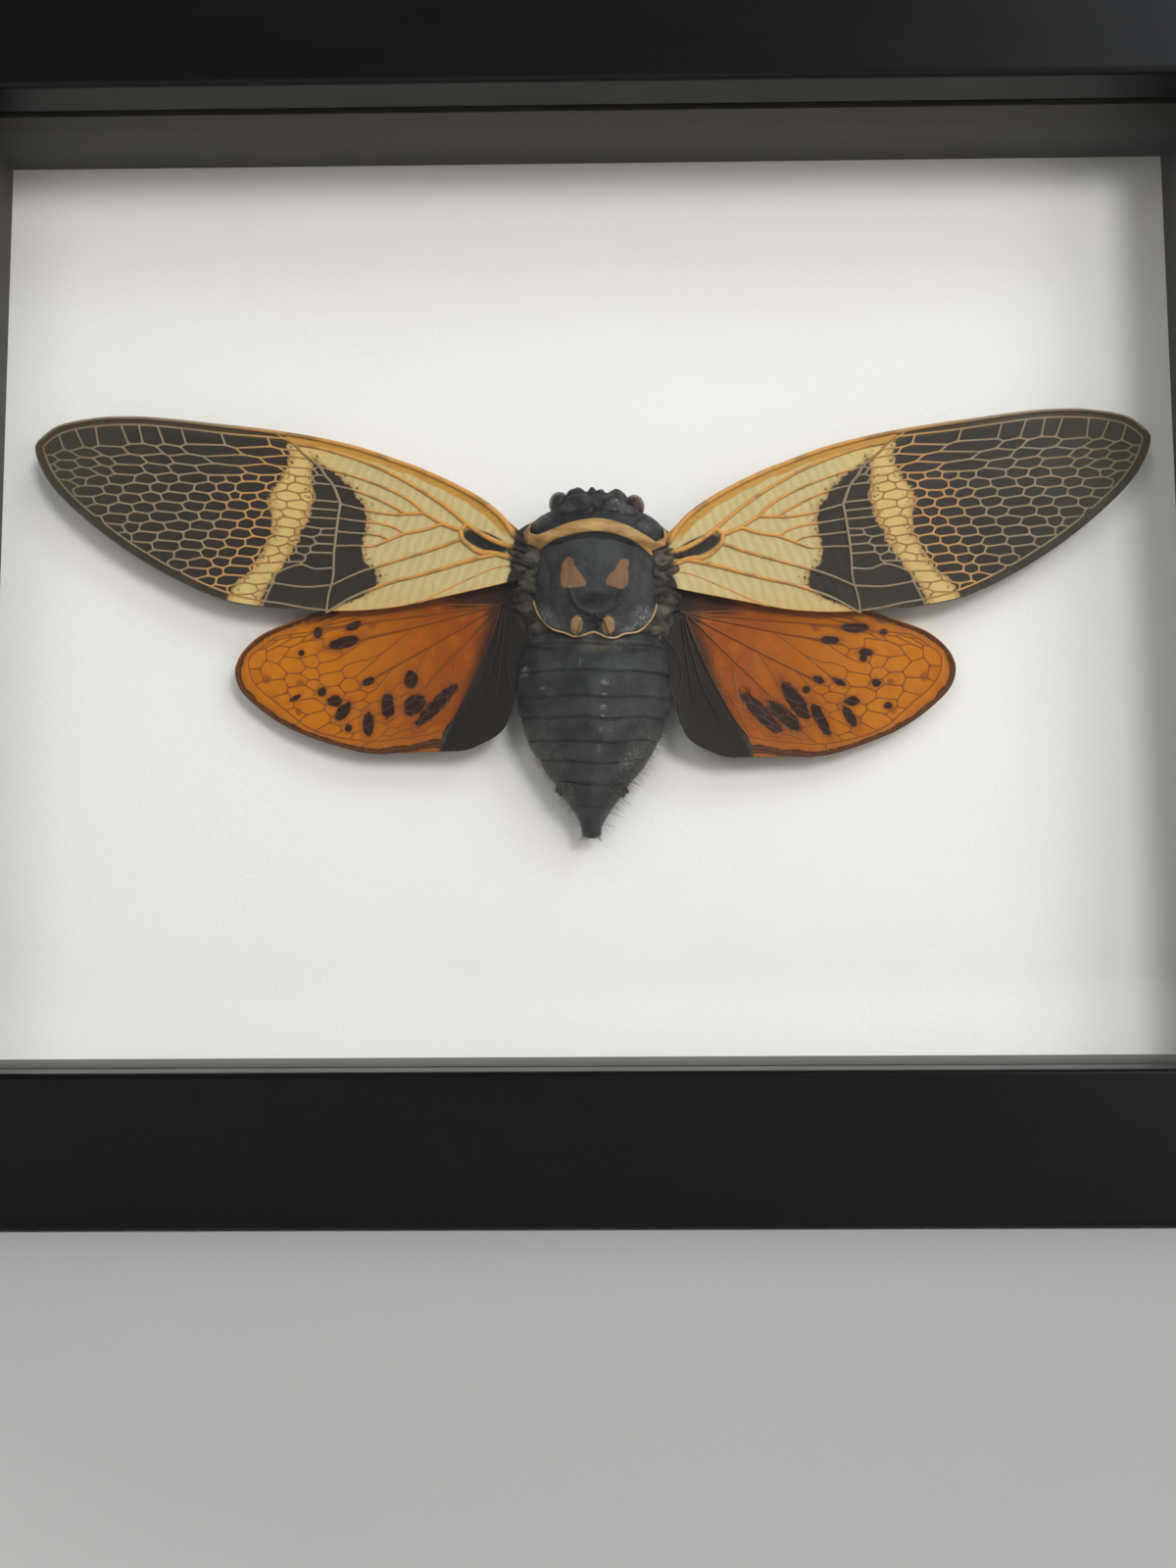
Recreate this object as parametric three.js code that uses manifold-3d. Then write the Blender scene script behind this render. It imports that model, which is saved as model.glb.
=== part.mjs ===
// Framed cicada specimen: a black box frame with a glass pane in front of a white card,
// and one large cicada with its wings spread on the card.
// Units are millimetres. +Z is up, +X is to the right, and the glass faces -Y.
// The origin is under the middle of the frame, on the surface that it stands on.
//
// The frame and the insect are drawn in the picture's own space: x to the right and y up
// from the middle of the opening, z forwards from the frame's front plane. One group
// then stands the whole picture up.

import * as THREE from 'three';
import { mergeVertices } from 'three/addons/utils/BufferGeometryUtils.js';
import Module from 'manifold-3d';

const wasm = await Module();
wasm.setup();

// Frame
const OPENING_WIDTH = 124;
const OPENING_HEIGHT = 95.4;
const FACE_WIDTH = 14.2;
const FRAME_DEPTH = 25.4;
const LIP_DEPTH = 4.6;
const REBATE_WIDTH = 4;
const ARRIS_RADIUS = 0.6;
const MITRE_GAP = 0.05;

// What lies in the rebate, from the front to the back, each with a little play before it
const PLAY = 0.1;
const GLASS_THICKNESS = 1.7;
const SPACER_DEPTH = 10.6;
const SPACER_WIDTH = 3.5;
const CARD_THICKNESS = 1.1;
const BOARD_THICKNESS = 3;
const SHEET_PLAY = 0.5;

// Bendable points behind the back board
const POINT_WIDTH = 8;
const POINT_THICKNESS = 0.6;
const POINT_LENGTH = 15;
const POINT_IN_WOOD = 6;
const SLOT_GAP = 0.3;
const CUT_OVERRUN = 1;
const LONG_RAIL_POINTS = [-36, 36];
const SHORT_RAIL_POINTS = [0];

// Sawtooth hanger and its nails
const HANGER_LENGTH = 44;
const HANGER_HEIGHT = 7;
const HANGER_THICKNESS = 0.8;
const HANGER_RISE = 0.6;
const HANGER_FLAT = 6;
const HANGER_RAMP = 1;
const TOOTH_PITCH = 3;
const TOOTH_COUNT = 9;
const NAIL_HEAD_RADIUS = 1.6;
const NAIL_HEAD_THICKNESS = 0.5;
const NAIL_RADIUS = 0.7;
const NAIL_LENGTH = 8;
const NAIL_TIP_LENGTH = 2;
const ROUND_SIDES = 10;

// Insect: heights are above the card's face
const BODY_CENTRE_X = 0.95;
const BODY_TURN = THREE.MathUtils.degToRad(-1.3);
const BODY_SIDES = 16;
const COLLAR_RADIUS = 0.62;
const RIDGE_RADIUS = 0.32;
const SHIELD_EDGE_RADIUS = 0.35;
const LEG_RADIUS = 0.42;
const CLASPER_RADIUS = 0.4;
const WING_THICKNESS = 0.36;
const VEIN_RADIUS = 0.26;
const COSTA_RADIUS = 0.42;
const COSTA_INSET = 0.3;
const WINGS_START_X = 7;
const FOREWING_TIP_HEIGHT = 3.5;
const FOREWING_ROOT_RISE = 3.1;
const FOREWING_FALL = 18;
const HINDWING_TIP_HEIGHT = 2.5;
const HINDWING_ROOT_RISE = 2.6;
const HINDWING_FALL = 14;
const RIGHT_FOREWING = { turn: 0.87, x: 1.27, y: -0.89 };
const RIGHT_HINDWING = { turn: 1.82, x: 1.32, y: -1.29 };

const OUTER_WIDTH = OPENING_WIDTH + 2 * FACE_WIDTH;
const OUTER_HEIGHT = OPENING_HEIGHT + 2 * FACE_WIDTH;
const REBATE_EDGE = FACE_WIDTH - REBATE_WIDTH;
const GLASS_FRONT = LIP_DEPTH + PLAY;
const SPACER_FRONT = GLASS_FRONT + GLASS_THICKNESS + PLAY;
const CARD_FACE = SPACER_FRONT + SPACER_DEPTH + PLAY;
const BOARD_FRONT = CARD_FACE + CARD_THICKNESS + PLAY;
const BOARD_BACK = BOARD_FRONT + BOARD_THICKNESS;
const HANGER_FRONT = FRAME_DEPTH + PLAY;
const NAIL_HEAD_FRONT = HANGER_FRONT + HANGER_THICKNESS + PLAY;
const WHOLE_DEPTH = HANGER_FRONT + HANGER_THICKNESS + HANGER_RISE;

const black = { color: 0x1c1e1e, roughness: 0.42, metalness: 0 };
const spacerBlack = { color: 0x2a2928, roughness: 0.6, metalness: 0 };
const clear = { color: 0xdfe8e6, roughness: 0.05, metalness: 0, transparent: true, opacity: 0.2 };
const cardWhite = { color: 0xe6e4e2, roughness: 0.95, metalness: 0 };
const boardBrown = { color: 0x8a6a48, roughness: 0.9, metalness: 0 };
const steel = { color: 0xb9bbbd, roughness: 0.35, metalness: 1 };
const insectBrown = { color: 0x3a342e, roughness: 0.5, metalness: 0 };

// Solids: only joining and cutting is done on them
function solidOf(geometry) {
  const bare = geometry.clone();
  bare.deleteAttribute('normal');
  bare.deleteAttribute('uv');
  const merged = mergeVertices(bare, 1e-5);
  const mesh = new wasm.Mesh({
    numProp: 3,
    vertProperties: new Float32Array(merged.attributes.position.array),
    triVerts: new Uint32Array(merged.index.array),
  });
  return new wasm.Manifold(mesh);
}

function geometryOf(solid) {
  const mesh = solid.getMesh();
  const geometry = new THREE.BufferGeometry();
  geometry.setAttribute('position', new THREE.BufferAttribute(mesh.vertProperties, 3));
  geometry.setIndex(new THREE.BufferAttribute(mesh.triVerts, 1));
  geometry.computeVertexNormals();
  return geometry;
}

function joined(geometries) {
  return geometryOf(geometries.map(solidOf).reduce((all, one) => all.add(one)));
}

function cut(geometry, tools) {
  const rest = tools.map(solidOf).reduce((left, tool) => left.subtract(tool), solidOf(geometry));
  return geometryOf(rest);
}

function named(name, geometry, look) {
  const mesh = new THREE.Mesh(geometry, new THREE.MeshStandardMaterial(look));
  mesh.name = name;
  return mesh;
}

// A plate in the picture's space: its width and height, and the depths it lies between
function plate(width, height, front, back) {
  const geometry = new THREE.BoxGeometry(width, height, back - front);
  return geometry.translate(0, 0, -(front + back) / 2);
}

// Each point of a geometry is moved to where the given function puts it
function reshaped(geometry, place) {
  const position = geometry.attributes.position;
  const point = new THREE.Vector3();
  for (let i = 0; i < position.count; i += 1) {
    place(point.fromBufferAttribute(position, i));
    position.setXYZ(i, point.x, point.y, point.z);
  }
  return geometry;
}

// Moulding: the section is drawn from the outer edge (0) to the lip (FACE_WIDTH), front at 0
function railSection() {
  const section = new THREE.Shape();
  section.moveTo(0, -FRAME_DEPTH);
  section.lineTo(REBATE_EDGE, -FRAME_DEPTH);
  section.lineTo(REBATE_EDGE, -LIP_DEPTH);
  section.lineTo(FACE_WIDTH, -LIP_DEPTH);
  section.lineTo(FACE_WIDTH, -ARRIS_RADIUS);
  section.absarc(FACE_WIDTH - ARRIS_RADIUS, -ARRIS_RADIUS, ARRIS_RADIUS, 0, Math.PI / 2);
  section.lineTo(ARRIS_RADIUS, 0);
  section.absarc(ARRIS_RADIUS, -ARRIS_RADIUS, ARRIS_RADIUS, Math.PI / 2, Math.PI);
  section.closePath();
  return section;
}

// One rail lies along x with its outer edge at y = 0; its ends are sheared to the mitres
function rail(length) {
  const options = { depth: 1, bevelEnabled: false, curveSegments: 4 };
  const bar = new THREE.ExtrudeGeometry(railSection(), options);
  return reshaped(bar, (p) => {
    const half = length / 2 - p.x - MITRE_GAP;
    p.set(p.z > 0.5 ? half : -half, p.x, p.y);
  });
}

function pointSlot(x) {
  const depth = POINT_IN_WOOD + SLOT_GAP + CUT_OVERRUN;
  const width = POINT_WIDTH + 2 * SLOT_GAP;
  const slot = new THREE.BoxGeometry(width, depth, POINT_THICKNESS + 2 * SLOT_GAP);
  return slot.translate(x, REBATE_EDGE + CUT_OVERRUN - depth / 2, -pointDepth());
}

function pointDepth() {
  return BOARD_BACK + PLAY + POINT_THICKNESS / 2;
}

function nailHole(x) {
  const radius = NAIL_RADIUS + SLOT_GAP;
  const hole = new THREE.CylinderGeometry(radius, radius, NAIL_LENGTH, ROUND_SIDES);
  const middle = -FRAME_DEPTH + NAIL_LENGTH / 2 - CUT_OVERRUN;
  return hole.rotateX(Math.PI / 2).translate(x, REBATE_EDGE / 2, middle);
}

function nailPlaces() {
  const reach = HANGER_LENGTH / 2 - HANGER_FLAT / 2;
  return [-reach, reach];
}

function makeFrame(picture) {
  const long = { length: OUTER_WIDTH, reach: OUTER_HEIGHT / 2, points: LONG_RAIL_POINTS };
  const short = { length: OUTER_HEIGHT, reach: OUTER_WIDTH / 2, points: SHORT_RAIL_POINTS };
  const sides = [
    { name: 'frame_bottom', turn: 0, ...long },
    { name: 'frame_right', turn: 1, ...short },
    { name: 'frame_top', turn: 2, ...long },
    { name: 'frame_left', turn: 3, ...short },
  ];
  for (const side of sides) {
    const holes = side.points.map(pointSlot);
    if (side.name === 'frame_top') holes.push(...nailPlaces().map(nailHole));
    const turned = new THREE.Group();
    turned.rotation.z = side.turn * Math.PI / 2;
    const mesh = named(side.name, cut(rail(side.length), holes), black);
    mesh.position.y = -side.reach;
    turned.add(mesh);
    side.points.forEach((x, i) => {
      const name = `${side.name.replace('frame', 'point')}_${i + 1}`;
      const point = named(name, pointPlate(), steel);
      point.position.set(x, REBATE_EDGE - POINT_IN_WOOD - side.reach, -pointDepth());
      turned.add(point);
    });
    picture.add(turned);
  }
}

// A point is a thin plate with a tapered nose in the wood
function pointPlate() {
  const half = POINT_WIDTH / 2;
  const outline = new THREE.Shape();
  outline.moveTo(-half / 2, 0);
  outline.lineTo(half / 2, 0);
  outline.lineTo(half, half / 2);
  outline.lineTo(half, POINT_LENGTH - half);
  outline.absarc(0, POINT_LENGTH - half, half, 0, Math.PI);
  outline.lineTo(-half, half / 2);
  outline.closePath();
  const options = { depth: POINT_THICKNESS, bevelEnabled: false, curveSegments: 6 };
  const solid = new THREE.ExtrudeGeometry(outline, options);
  return solid.translate(0, 0, -POINT_THICKNESS / 2);
}

function makeSheets(picture) {
  const width = OPENING_WIDTH + 2 * (REBATE_WIDTH - SHEET_PLAY);
  const height = OPENING_HEIGHT + 2 * (REBATE_WIDTH - SHEET_PLAY);
  const sheets = [
    ['glass_pane', GLASS_FRONT, GLASS_THICKNESS, clear],
    ['mount_card', CARD_FACE, CARD_THICKNESS, cardWhite],
    ['back_board', BOARD_FRONT, BOARD_THICKNESS, boardBrown],
  ];
  for (const [name, front, thickness, look] of sheets) {
    picture.add(named(name, plate(width, height, front, front + thickness), look));
  }
  const back = SPACER_FRONT + SPACER_DEPTH;
  const upright = height - 2 * (SPACER_WIDTH + PLAY);
  for (const [name, side] of [['spacer_bottom', -1], ['spacer_top', 1]]) {
    const strip = plate(width, SPACER_WIDTH, SPACER_FRONT, back);
    picture.add(named(name, strip.translate(0, side * (height - SPACER_WIDTH) / 2, 0), spacerBlack));
  }
  for (const [name, side] of [['spacer_left', -1], ['spacer_right', 1]]) {
    const strip = plate(SPACER_WIDTH, upright, SPACER_FRONT, back);
    picture.add(named(name, strip.translate(side * (width - SPACER_WIDTH) / 2, 0, 0), spacerBlack));
  }
}

// Hanger: a strip bent up in the middle, with teeth cut along its lower edge
function hangerStrip() {
  const end = HANGER_LENGTH / 2;
  const bend = end - HANGER_FLAT;
  const raised = bend - HANGER_RAMP;
  const bridge = [
    [-end, 0],
    [-bend, 0],
    [-raised, HANGER_RISE],
    [raised, HANGER_RISE],
    [bend, 0],
    [end, 0],
  ];
  const inner = bridge.map(([x, rise]) => new THREE.Vector2(x, -rise));
  const outer = bridge.map(([x, rise]) => new THREE.Vector2(x, -rise - HANGER_THICKNESS));
  const side = new THREE.Shape([...inner, ...outer.reverse()]);
  const strip = new THREE.ExtrudeGeometry(side, { depth: HANGER_HEIGHT, bevelEnabled: false });
  return strip.rotateX(Math.PI / 2);
}

function hangerTooth(x) {
  const gap = new THREE.Shape();
  gap.moveTo(x - TOOTH_PITCH / 2, -HANGER_HEIGHT - CUT_OVERRUN);
  gap.lineTo(x + TOOTH_PITCH / 2, -HANGER_HEIGHT - CUT_OVERRUN);
  gap.lineTo(x, -HANGER_HEIGHT + TOOTH_PITCH / 2);
  gap.closePath();
  const depth = 2 * (HANGER_THICKNESS + HANGER_RISE);
  const prism = new THREE.ExtrudeGeometry(gap, { depth, bevelEnabled: false });
  return prism.translate(0, 0, -depth);
}

function hangerHole(x) {
  const radius = NAIL_RADIUS + SLOT_GAP;
  const depth = 2 * (HANGER_THICKNESS + CUT_OVERRUN);
  const hole = new THREE.CylinderGeometry(radius, radius, depth, ROUND_SIDES);
  return hole.rotateX(Math.PI / 2).translate(x, -HANGER_HEIGHT / 2, 0);
}

function nail() {
  const profile = [
    [0, 0],
    [NAIL_HEAD_RADIUS, 0],
    [NAIL_HEAD_RADIUS, NAIL_HEAD_THICKNESS],
    [NAIL_RADIUS, NAIL_HEAD_THICKNESS],
    [NAIL_RADIUS, NAIL_LENGTH - NAIL_TIP_LENGTH],
    [0, NAIL_LENGTH],
  ];
  const points = profile.map(([radius, y]) => new THREE.Vector2(radius, y));
  return new THREE.LatheGeometry(points, ROUND_SIDES).rotateX(Math.PI / 2);
}

function makeHanger(picture) {
  const middle = (OUTER_HEIGHT - REBATE_EDGE) / 2;
  const half = (TOOTH_COUNT - 1) / 2;
  const places = Array.from({ length: TOOTH_COUNT }, (_, i) => (i - half) * TOOTH_PITCH);
  const teeth = places.map(hangerTooth);
  const strip = cut(hangerStrip(), [...teeth, ...nailPlaces().map(hangerHole)]);
  const hanger = named('sawtooth_hanger', strip, steel);
  hanger.position.set(0, middle + HANGER_HEIGHT / 2, -HANGER_FRONT);
  picture.add(hanger);
  nailPlaces().forEach((x, i) => {
    const one = named(`hanger_nail_${i + 1}`, nail(), steel);
    one.position.set(x, middle, -NAIL_HEAD_FRONT - NAIL_HEAD_THICKNESS);
    picture.add(one);
  });
}

// Insect body. Its own axes: x across, y towards the head, z up from the card.
// A loft is a turned form whose rings take a half width, an underside and a top each.
function loft(stations) {
  const last = stations.length - 1;
  const profile = stations.map((_, i) => new THREE.Vector2(i === 0 || i === last ? 0 : 1, i));
  return reshaped(new THREE.LatheGeometry(profile, BODY_SIDES), (p) => {
    const [y, halfWidth, under, top] = stations[Math.round(p.y)];
    p.set(-p.x * halfWidth, y, (top + under) / 2 + p.z * (top - under) / 2);
  });
}

function lump([x, y, z], [rx, ry, rz], sides) {
  const ball = new THREE.SphereGeometry(1, sides, Math.ceil(sides / 2));
  return ball.scale(rx, ry, rz).translate(x, y, z);
}

// A rod along a smooth curve through the points
function rod(points, radius, steps, sides = 4) {
  const section = new THREE.Shape(
    Array.from({ length: sides }, (_, i) => {
      const angle = (i + 0.5) * 2 * Math.PI / sides;
      return new THREE.Vector2(radius * Math.cos(angle), radius * Math.sin(angle));
    }),
  );
  const extrudePath = new THREE.CatmullRomCurve3(points.map((p) => new THREE.Vector3(...p)));
  return new THREE.ExtrudeGeometry(section, { steps, extrudePath, bevelEnabled: false });
}

// Abdomen: each ring that steps inwards is the hind edge of one segment over the next
function abdomen() {
  return loft([
    [-3.6, 5.8, 1.2, 7.4],
    [-4.2, 5.8, 0.9, 7.8],
    [-6.4, 7.3, 0.4, 8.5],
    [-9.0, 7.75, 0.3, 8.75],
    [-9.1, 7.6, 0.4, 8.55],
    [-10.4, 7.85, 0.3, 8.7],
    [-11.7, 7.85, 0.3, 8.7],
    [-11.8, 7.65, 0.4, 8.5],
    [-13.8, 7.35, 0.4, 8.5],
    [-13.9, 7.15, 0.5, 8.3],
    [-16.2, 6.45, 0.6, 8.0],
    [-16.3, 6.2, 0.7, 7.8],
    [-18.2, 5.25, 1.0, 7.2],
    [-18.3, 5.0, 1.1, 7.0],
    [-20.3, 3.6, 1.5, 6.2],
    [-20.4, 3.2, 1.6, 6.0],
    [-22.6, 2.1, 1.9, 5.2],
    [-24.8, 1.1, 2.2, 4.3],
    [-25.6, 0.6, 2.6, 3.8],
  ]);
}

// Hind thorax and the domed back shield
function thorax() {
  return loft([
    [5.6, 5.0, 1.6, 8.0],
    [5.0, 5.5, 1.2, 8.4],
    [3.4, 6.15, 0.6, 9.1],
    [1.5, 6.35, 0.4, 9.5],
    [-0.8, 6.2, 0.3, 9.4],
    [-2.6, 5.6, 0.3, 9.0],
    [-4.2, 4.6, 0.4, 8.5],
    [-5.5, 3.0, 0.8, 8.2],
    [-6.0, 2.0, 1.4, 8.0],
  ]);
}

function pronotum() {
  return loft([
    [8.2, 3.6, 2.4, 7.0],
    [7.5, 4.4, 2.0, 7.8],
    [6.7, 6.0, 1.5, 8.5],
    [5.6, 7.0, 1.3, 8.9],
    [4.6, 7.3, 1.3, 9.1],
    [3.8, 6.8, 1.7, 8.9],
    [3.2, 5.0, 2.4, 8.4],
  ]);
}

function collar() {
  const band = [[-6.7, 3.5, 5.6], [-5.6, 3.7, 7.6], [-3.2, 4.7, 8.8], [0, 5.2, 9.1]];
  const other = band.slice(0, -1).reverse().map(([x, y, z]) => [-x, y, z]);
  return rod([...band, ...other], COLLAR_RADIUS, 14, 6);
}

function head() {
  const crown = loft([
    [10.0, 1.6, 4.4, 6.0],
    [9.6, 3.1, 3.2, 6.8],
    [8.6, 4.1, 2.4, 7.6],
    [7.4, 4.4, 2.0, 7.9],
    [6.4, 4.0, 2.2, 7.9],
  ]);
  const browPlaces = [[-2.5, 9.3, 5.8], [-0.7, 9.6, 5.8], [0.8, 9.55, 5.8], [2.7, 9.1, 5.8]];
  const brow = browPlaces.map((place) => lump(place, [1, 0.75, 1.1], 8));
  const eyes = [-1, 1].map((side) => lump([side * 3.75, 8.3, 5.5], [1.25, 1.5, 1.6], 10));
  const face = lump([0, 8.6, 3.2], [2.3, 1.5, 1.9], 8);
  return [crown, face, ...brow, ...eyes];
}

// Cross-shaped ridge on the back shield and the rolled edge behind it
function shieldRidges() {
  const arms = [-1, 1].map((side) => {
    const path = [[side * 3, -1.6, 9.1], [0, -3.9, 8.75], [-side * 2.2, -5.4, 8.1]];
    return rod(path, RIDGE_RADIUS, 5);
  });
  const rim = [[-5.6, -2.6, 6.6], [-4.2, -4.4, 7.4], [0, -5.8, 8.1], [4.2, -4.4, 7.4], [5.6, -2.6, 6.6]];
  return [...arms, rod(rim, SHIELD_EDGE_RADIUS, 10)];
}

function legs() {
  const paths = [
    [[2.4, 5.0, 1.4], [5.6, 3.6, 1.4], [7.3, 4.6, 2.4], [4.4, 8.6, 0.7]],
    [[2.6, 1.5, 1.2], [6.6, -0.5, 1.4], [5.6, -5.0, 0.7], [5.0, -8.0, 0.6]],
    [[2.6, -2.0, 1.2], [5.6, -4.4, 1.0], [4.6, -9.0, 0.6], [3.6, -12.6, 0.6]],
  ];
  return [-1, 1].flatMap((side) => paths.map((path) => {
    return rod(path.map(([x, y, z]) => [side * x, y, z]), LEG_RADIUS, 5, 5);
  }));
}

// Swollen roots that carry the wings, and the pair of claspers at the tail
function rootsAndClaspers() {
  return [-1, 1].flatMap((side) => {
    const clasper = [[side * 2.6, -19.6, 4.2], [side * 3.3, -20.6, 4.0], [side * 3.1, -21.2, 3.8]];
    return [
      lump([side * 6.6, 2.0, 5.9], [2.1, 1.6, 1.2], 8),
      lump([side * 6.5, -2.2, 5.0], [1.9, 2.4, 1.3], 8),
      rod(clasper, CLASPER_RADIUS, 3, 5),
    ];
  });
}

function insectBody() {
  const trunk = [abdomen(), thorax(), pronotum(), collar(), ...head()];
  const parts = [...trunk, ...shieldRidges(), ...legs(), ...rootsAndClaspers()];
  return parts.map((part) => part.rotateZ(BODY_TURN).translate(BODY_CENTRE_X, 0, 0));
}

// Wings. Outlines are of the left wing seen from the front, root first, in pairs of points
// on the leading and the trailing edge; the right wing mirrors them.
const FOREWING = [
  [[-4.6, 3.6], [-5.0, 0.8]],
  [[-7.0, 4.9], [-8.4, 1.9]],
  [[-8.4, 6.9], [-12.6, 0.4]],
  [[-10.5, 8.8], [-15.5, -0.9]],
  [[-13.4, 10.6], [-18.4, -1.8]],
  [[-17.0, 12.4], [-24.1, -2.2]],
  [[-24.2, 15.1], [-31.2, -1.8]],
  [[-31.5, 16.8], [-37.0, -0.9]],
  [[-38.8, 17.8], [-42.8, 1.7]],
  [[-46.0, 18.7], [-48.3, 5.1]],
  [[-51.1, 18.6], [-53.1, 9.0]],
  [[-54.9, 17.8], [-55.8, 12.0]],
  [[-57.0, 16.2], [-57.2, 14.9]],
];
const HINDWING = [
  [[-4.6, 0.6], [-5.0, -2.4]],
  [[-8.0, 1.8], [-7.9, -6.5]],
  [[-11.0, 1.4], [-7.6, -11.4]],
  [[-14.0, 0.8], [-8.4, -14.5]],
  [[-17.0, 0.1], [-11.2, -16.2]],
  [[-20.0, -0.3], [-13.1, -16.6]],
  [[-22.5, -0.8], [-15.2, -15.8]],
  [[-25.0, -1.3], [-18.5, -16.4]],
  [[-27.6, -1.9], [-22.3, -16.7]],
  [[-30.7, -3.0], [-27.7, -15.2]],
  [[-33.6, -4.3], [-31.6, -13.4]],
  [[-35.5, -6.1], [-34.9, -10.9]],
  [[-36.2, -7.7], [-36.0, -9.3]],
];
const FOREWING_VEINS = [
  [[-29.7, 15.5], [-22.5, 13.5], [-18.6, 11.2], [-12.1, 6.7], [-7.4, 3.8]],
  [[-27.6, 13.3], [-22.5, 11.7], [-18.6, 9.7], [-16.3, 7.7], [-12.3, 5.9], [-8.0, 3.4]],
  [[-27.0, 12.1], [-23.5, 10.5], [-18.2, 7.7], [-16.3, 7.6]],
  [[-25.5, 5.6], [-18.6, 5.6], [-14.6, 6.4]],
  [[-25.7, 0.7], [-20.5, 2.6], [-15.2, 4.0], [-12.5, 5.2]],
  [[-26.6, -1.8], [-19.5, 0.7], [-14.8, 1.8], [-9.2, 3.1]],
  [[-29.5, 14.9], [-26.2, 11.3], [-25.4, 8.0], [-25.8, 3.0], [-26.6, -1.8]],
];
const HINDWING_VEINS = [
  [[-34.6, -6.4], [-22.0, -3.8], [-8.0, -0.8]],
  [[-34.4, -10.2], [-22.0, -6.0], [-8.2, -1.2]],
  [[-29.0, -14.0], [-19.0, -7.4], [-8.4, -1.6]],
  [[-22.6, -16.0], [-15.6, -8.4], [-8.4, -2.0]],
  [[-15.4, -15.2], [-12.0, -9.0], [-8.2, -2.6]],
  [[-11.6, -15.4], [-9.8, -9.0], [-7.6, -3.2]],
];
const OUTER_VEIN_ROWS = 4;
const OUTER_VEIN_START = 0.56;
const OUTER_VEIN_END = 0.93;
const BLADE_STEPS = 13;
const VEIN_STEPS = 4;

function edges(outline) {
  return [0, 1].map((edge) => {
    return new THREE.SplineCurve(outline.map((pair) => new THREE.Vector2(...pair[edge])));
  });
}

function heightAt(x, tip, rise, fall) {
  const out = Math.max(0, Math.abs(x) - WINGS_START_X);
  return tip + rise * Math.exp(-out / fall);
}

// side is -1 for the left wing and 1 for the right one
function membrane(outline, side, height) {
  const [leading, trailing] = edges(outline);
  const blade = new THREE.BoxGeometry(1, 1, 1, BLADE_STEPS, 2, 1);
  return reshaped(blade, (p) => {
    const along = p.x + 0.5;
    const across = side < 0 ? p.y + 0.5 : 0.5 - p.y;
    const point = leading.getPoint(along).lerp(trailing.getPoint(along), across);
    p.set(-side * point.x, point.y, height(point.x) + p.z * WING_THICKNESS);
  });
}

function vein(points, side, height, radius = VEIN_RADIUS, steps = VEIN_STEPS) {
  const path = points.map(([x, y]) => [-side * x, y, height(x) + WING_THICKNESS / 2]);
  return rod(path, radius, steps);
}

// Long veins of the outer wing run between the edges in evenly spread rows
function outerVeins() {
  const [leading, trailing] = edges(FOREWING);
  return Array.from({ length: OUTER_VEIN_ROWS }, (_, row) => {
    const across = (row + 1) / (OUTER_VEIN_ROWS + 1);
    return [0, 0.33, 0.67, 1].map((step) => {
      const along = THREE.MathUtils.lerp(OUTER_VEIN_START, OUTER_VEIN_END, step);
      const point = leading.getPoint(along).lerp(trailing.getPoint(along), across);
      return [point.x, point.y];
    });
  });
}

function costa() {
  const [leading] = edges(FOREWING);
  return [0.12, 0.25, 0.4, 0.55, 0.7, 0.85, 0.96].map((along) => {
    const point = leading.getPoint(along);
    return [point.x, point.y - COSTA_INSET];
  });
}

function forewing(side) {
  const height = (x) => heightAt(x, FOREWING_TIP_HEIGHT, FOREWING_ROOT_RISE, FOREWING_FALL);
  const veins = [...FOREWING_VEINS, ...outerVeins()].map((points) => vein(points, side, height));
  const leading = vein(costa(), side, height, COSTA_RADIUS, 2 * VEIN_STEPS);
  return [membrane(FOREWING, side, height), leading, ...veins];
}

function hindwing(side) {
  const height = (x) => heightAt(x, HINDWING_TIP_HEIGHT, HINDWING_ROOT_RISE, HINDWING_FALL);
  const veins = HINDWING_VEINS.map((points) => vein(points, side, height));
  return [membrane(HINDWING, side, height), ...veins];
}

function placed(parts, { turn, x, y }) {
  return parts.map((part) => part.rotateZ(THREE.MathUtils.degToRad(turn)).translate(x, y, 0));
}

function makeInsect(picture) {
  const wings = [
    ...forewing(-1),
    ...hindwing(-1),
    ...placed(forewing(1), RIGHT_FOREWING),
    ...placed(hindwing(1), RIGHT_HINDWING),
  ];
  const insect = named('cicada', joined([...insectBody(), ...wings]), insectBrown);
  insect.position.z = -CARD_FACE;
  picture.add(insect);
}

const picture = new THREE.Group();
picture.name = 'framed_cicada_specimen';
picture.rotation.x = Math.PI / 2;
picture.position.set(0, -WHOLE_DEPTH / 2, OUTER_HEIGHT / 2);
makeFrame(picture);
makeSheets(picture);
makeHanger(picture);
makeInsect(picture);

export default picture;
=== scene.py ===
# %% [markdown]
# # A framed cicada, piece by piece
# The object is a black box frame with a glass pane. Behind the glass a large cicada
# sits on a white card, with its four wings spread flat. The frame, the glass, the card
# and the board come ready made as the fixed frame of this scene, and the insect, which
# is the detailed part, is modelled here. We work in millimetres in the picture's own
# plane: x to the right and y up from the middle of the opening, z as the height above
# the card. One matrix at the end stands each finished piece up in the frame, in metres.

# %% Load the fixed frame
import math
import random

import bmesh
import bpy
from mathutils import Matrix, Quaternion, Vector, noise
from mathutils.geometry import delaunay_2d_cdt
from mathutils.kdtree import KDTree


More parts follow.
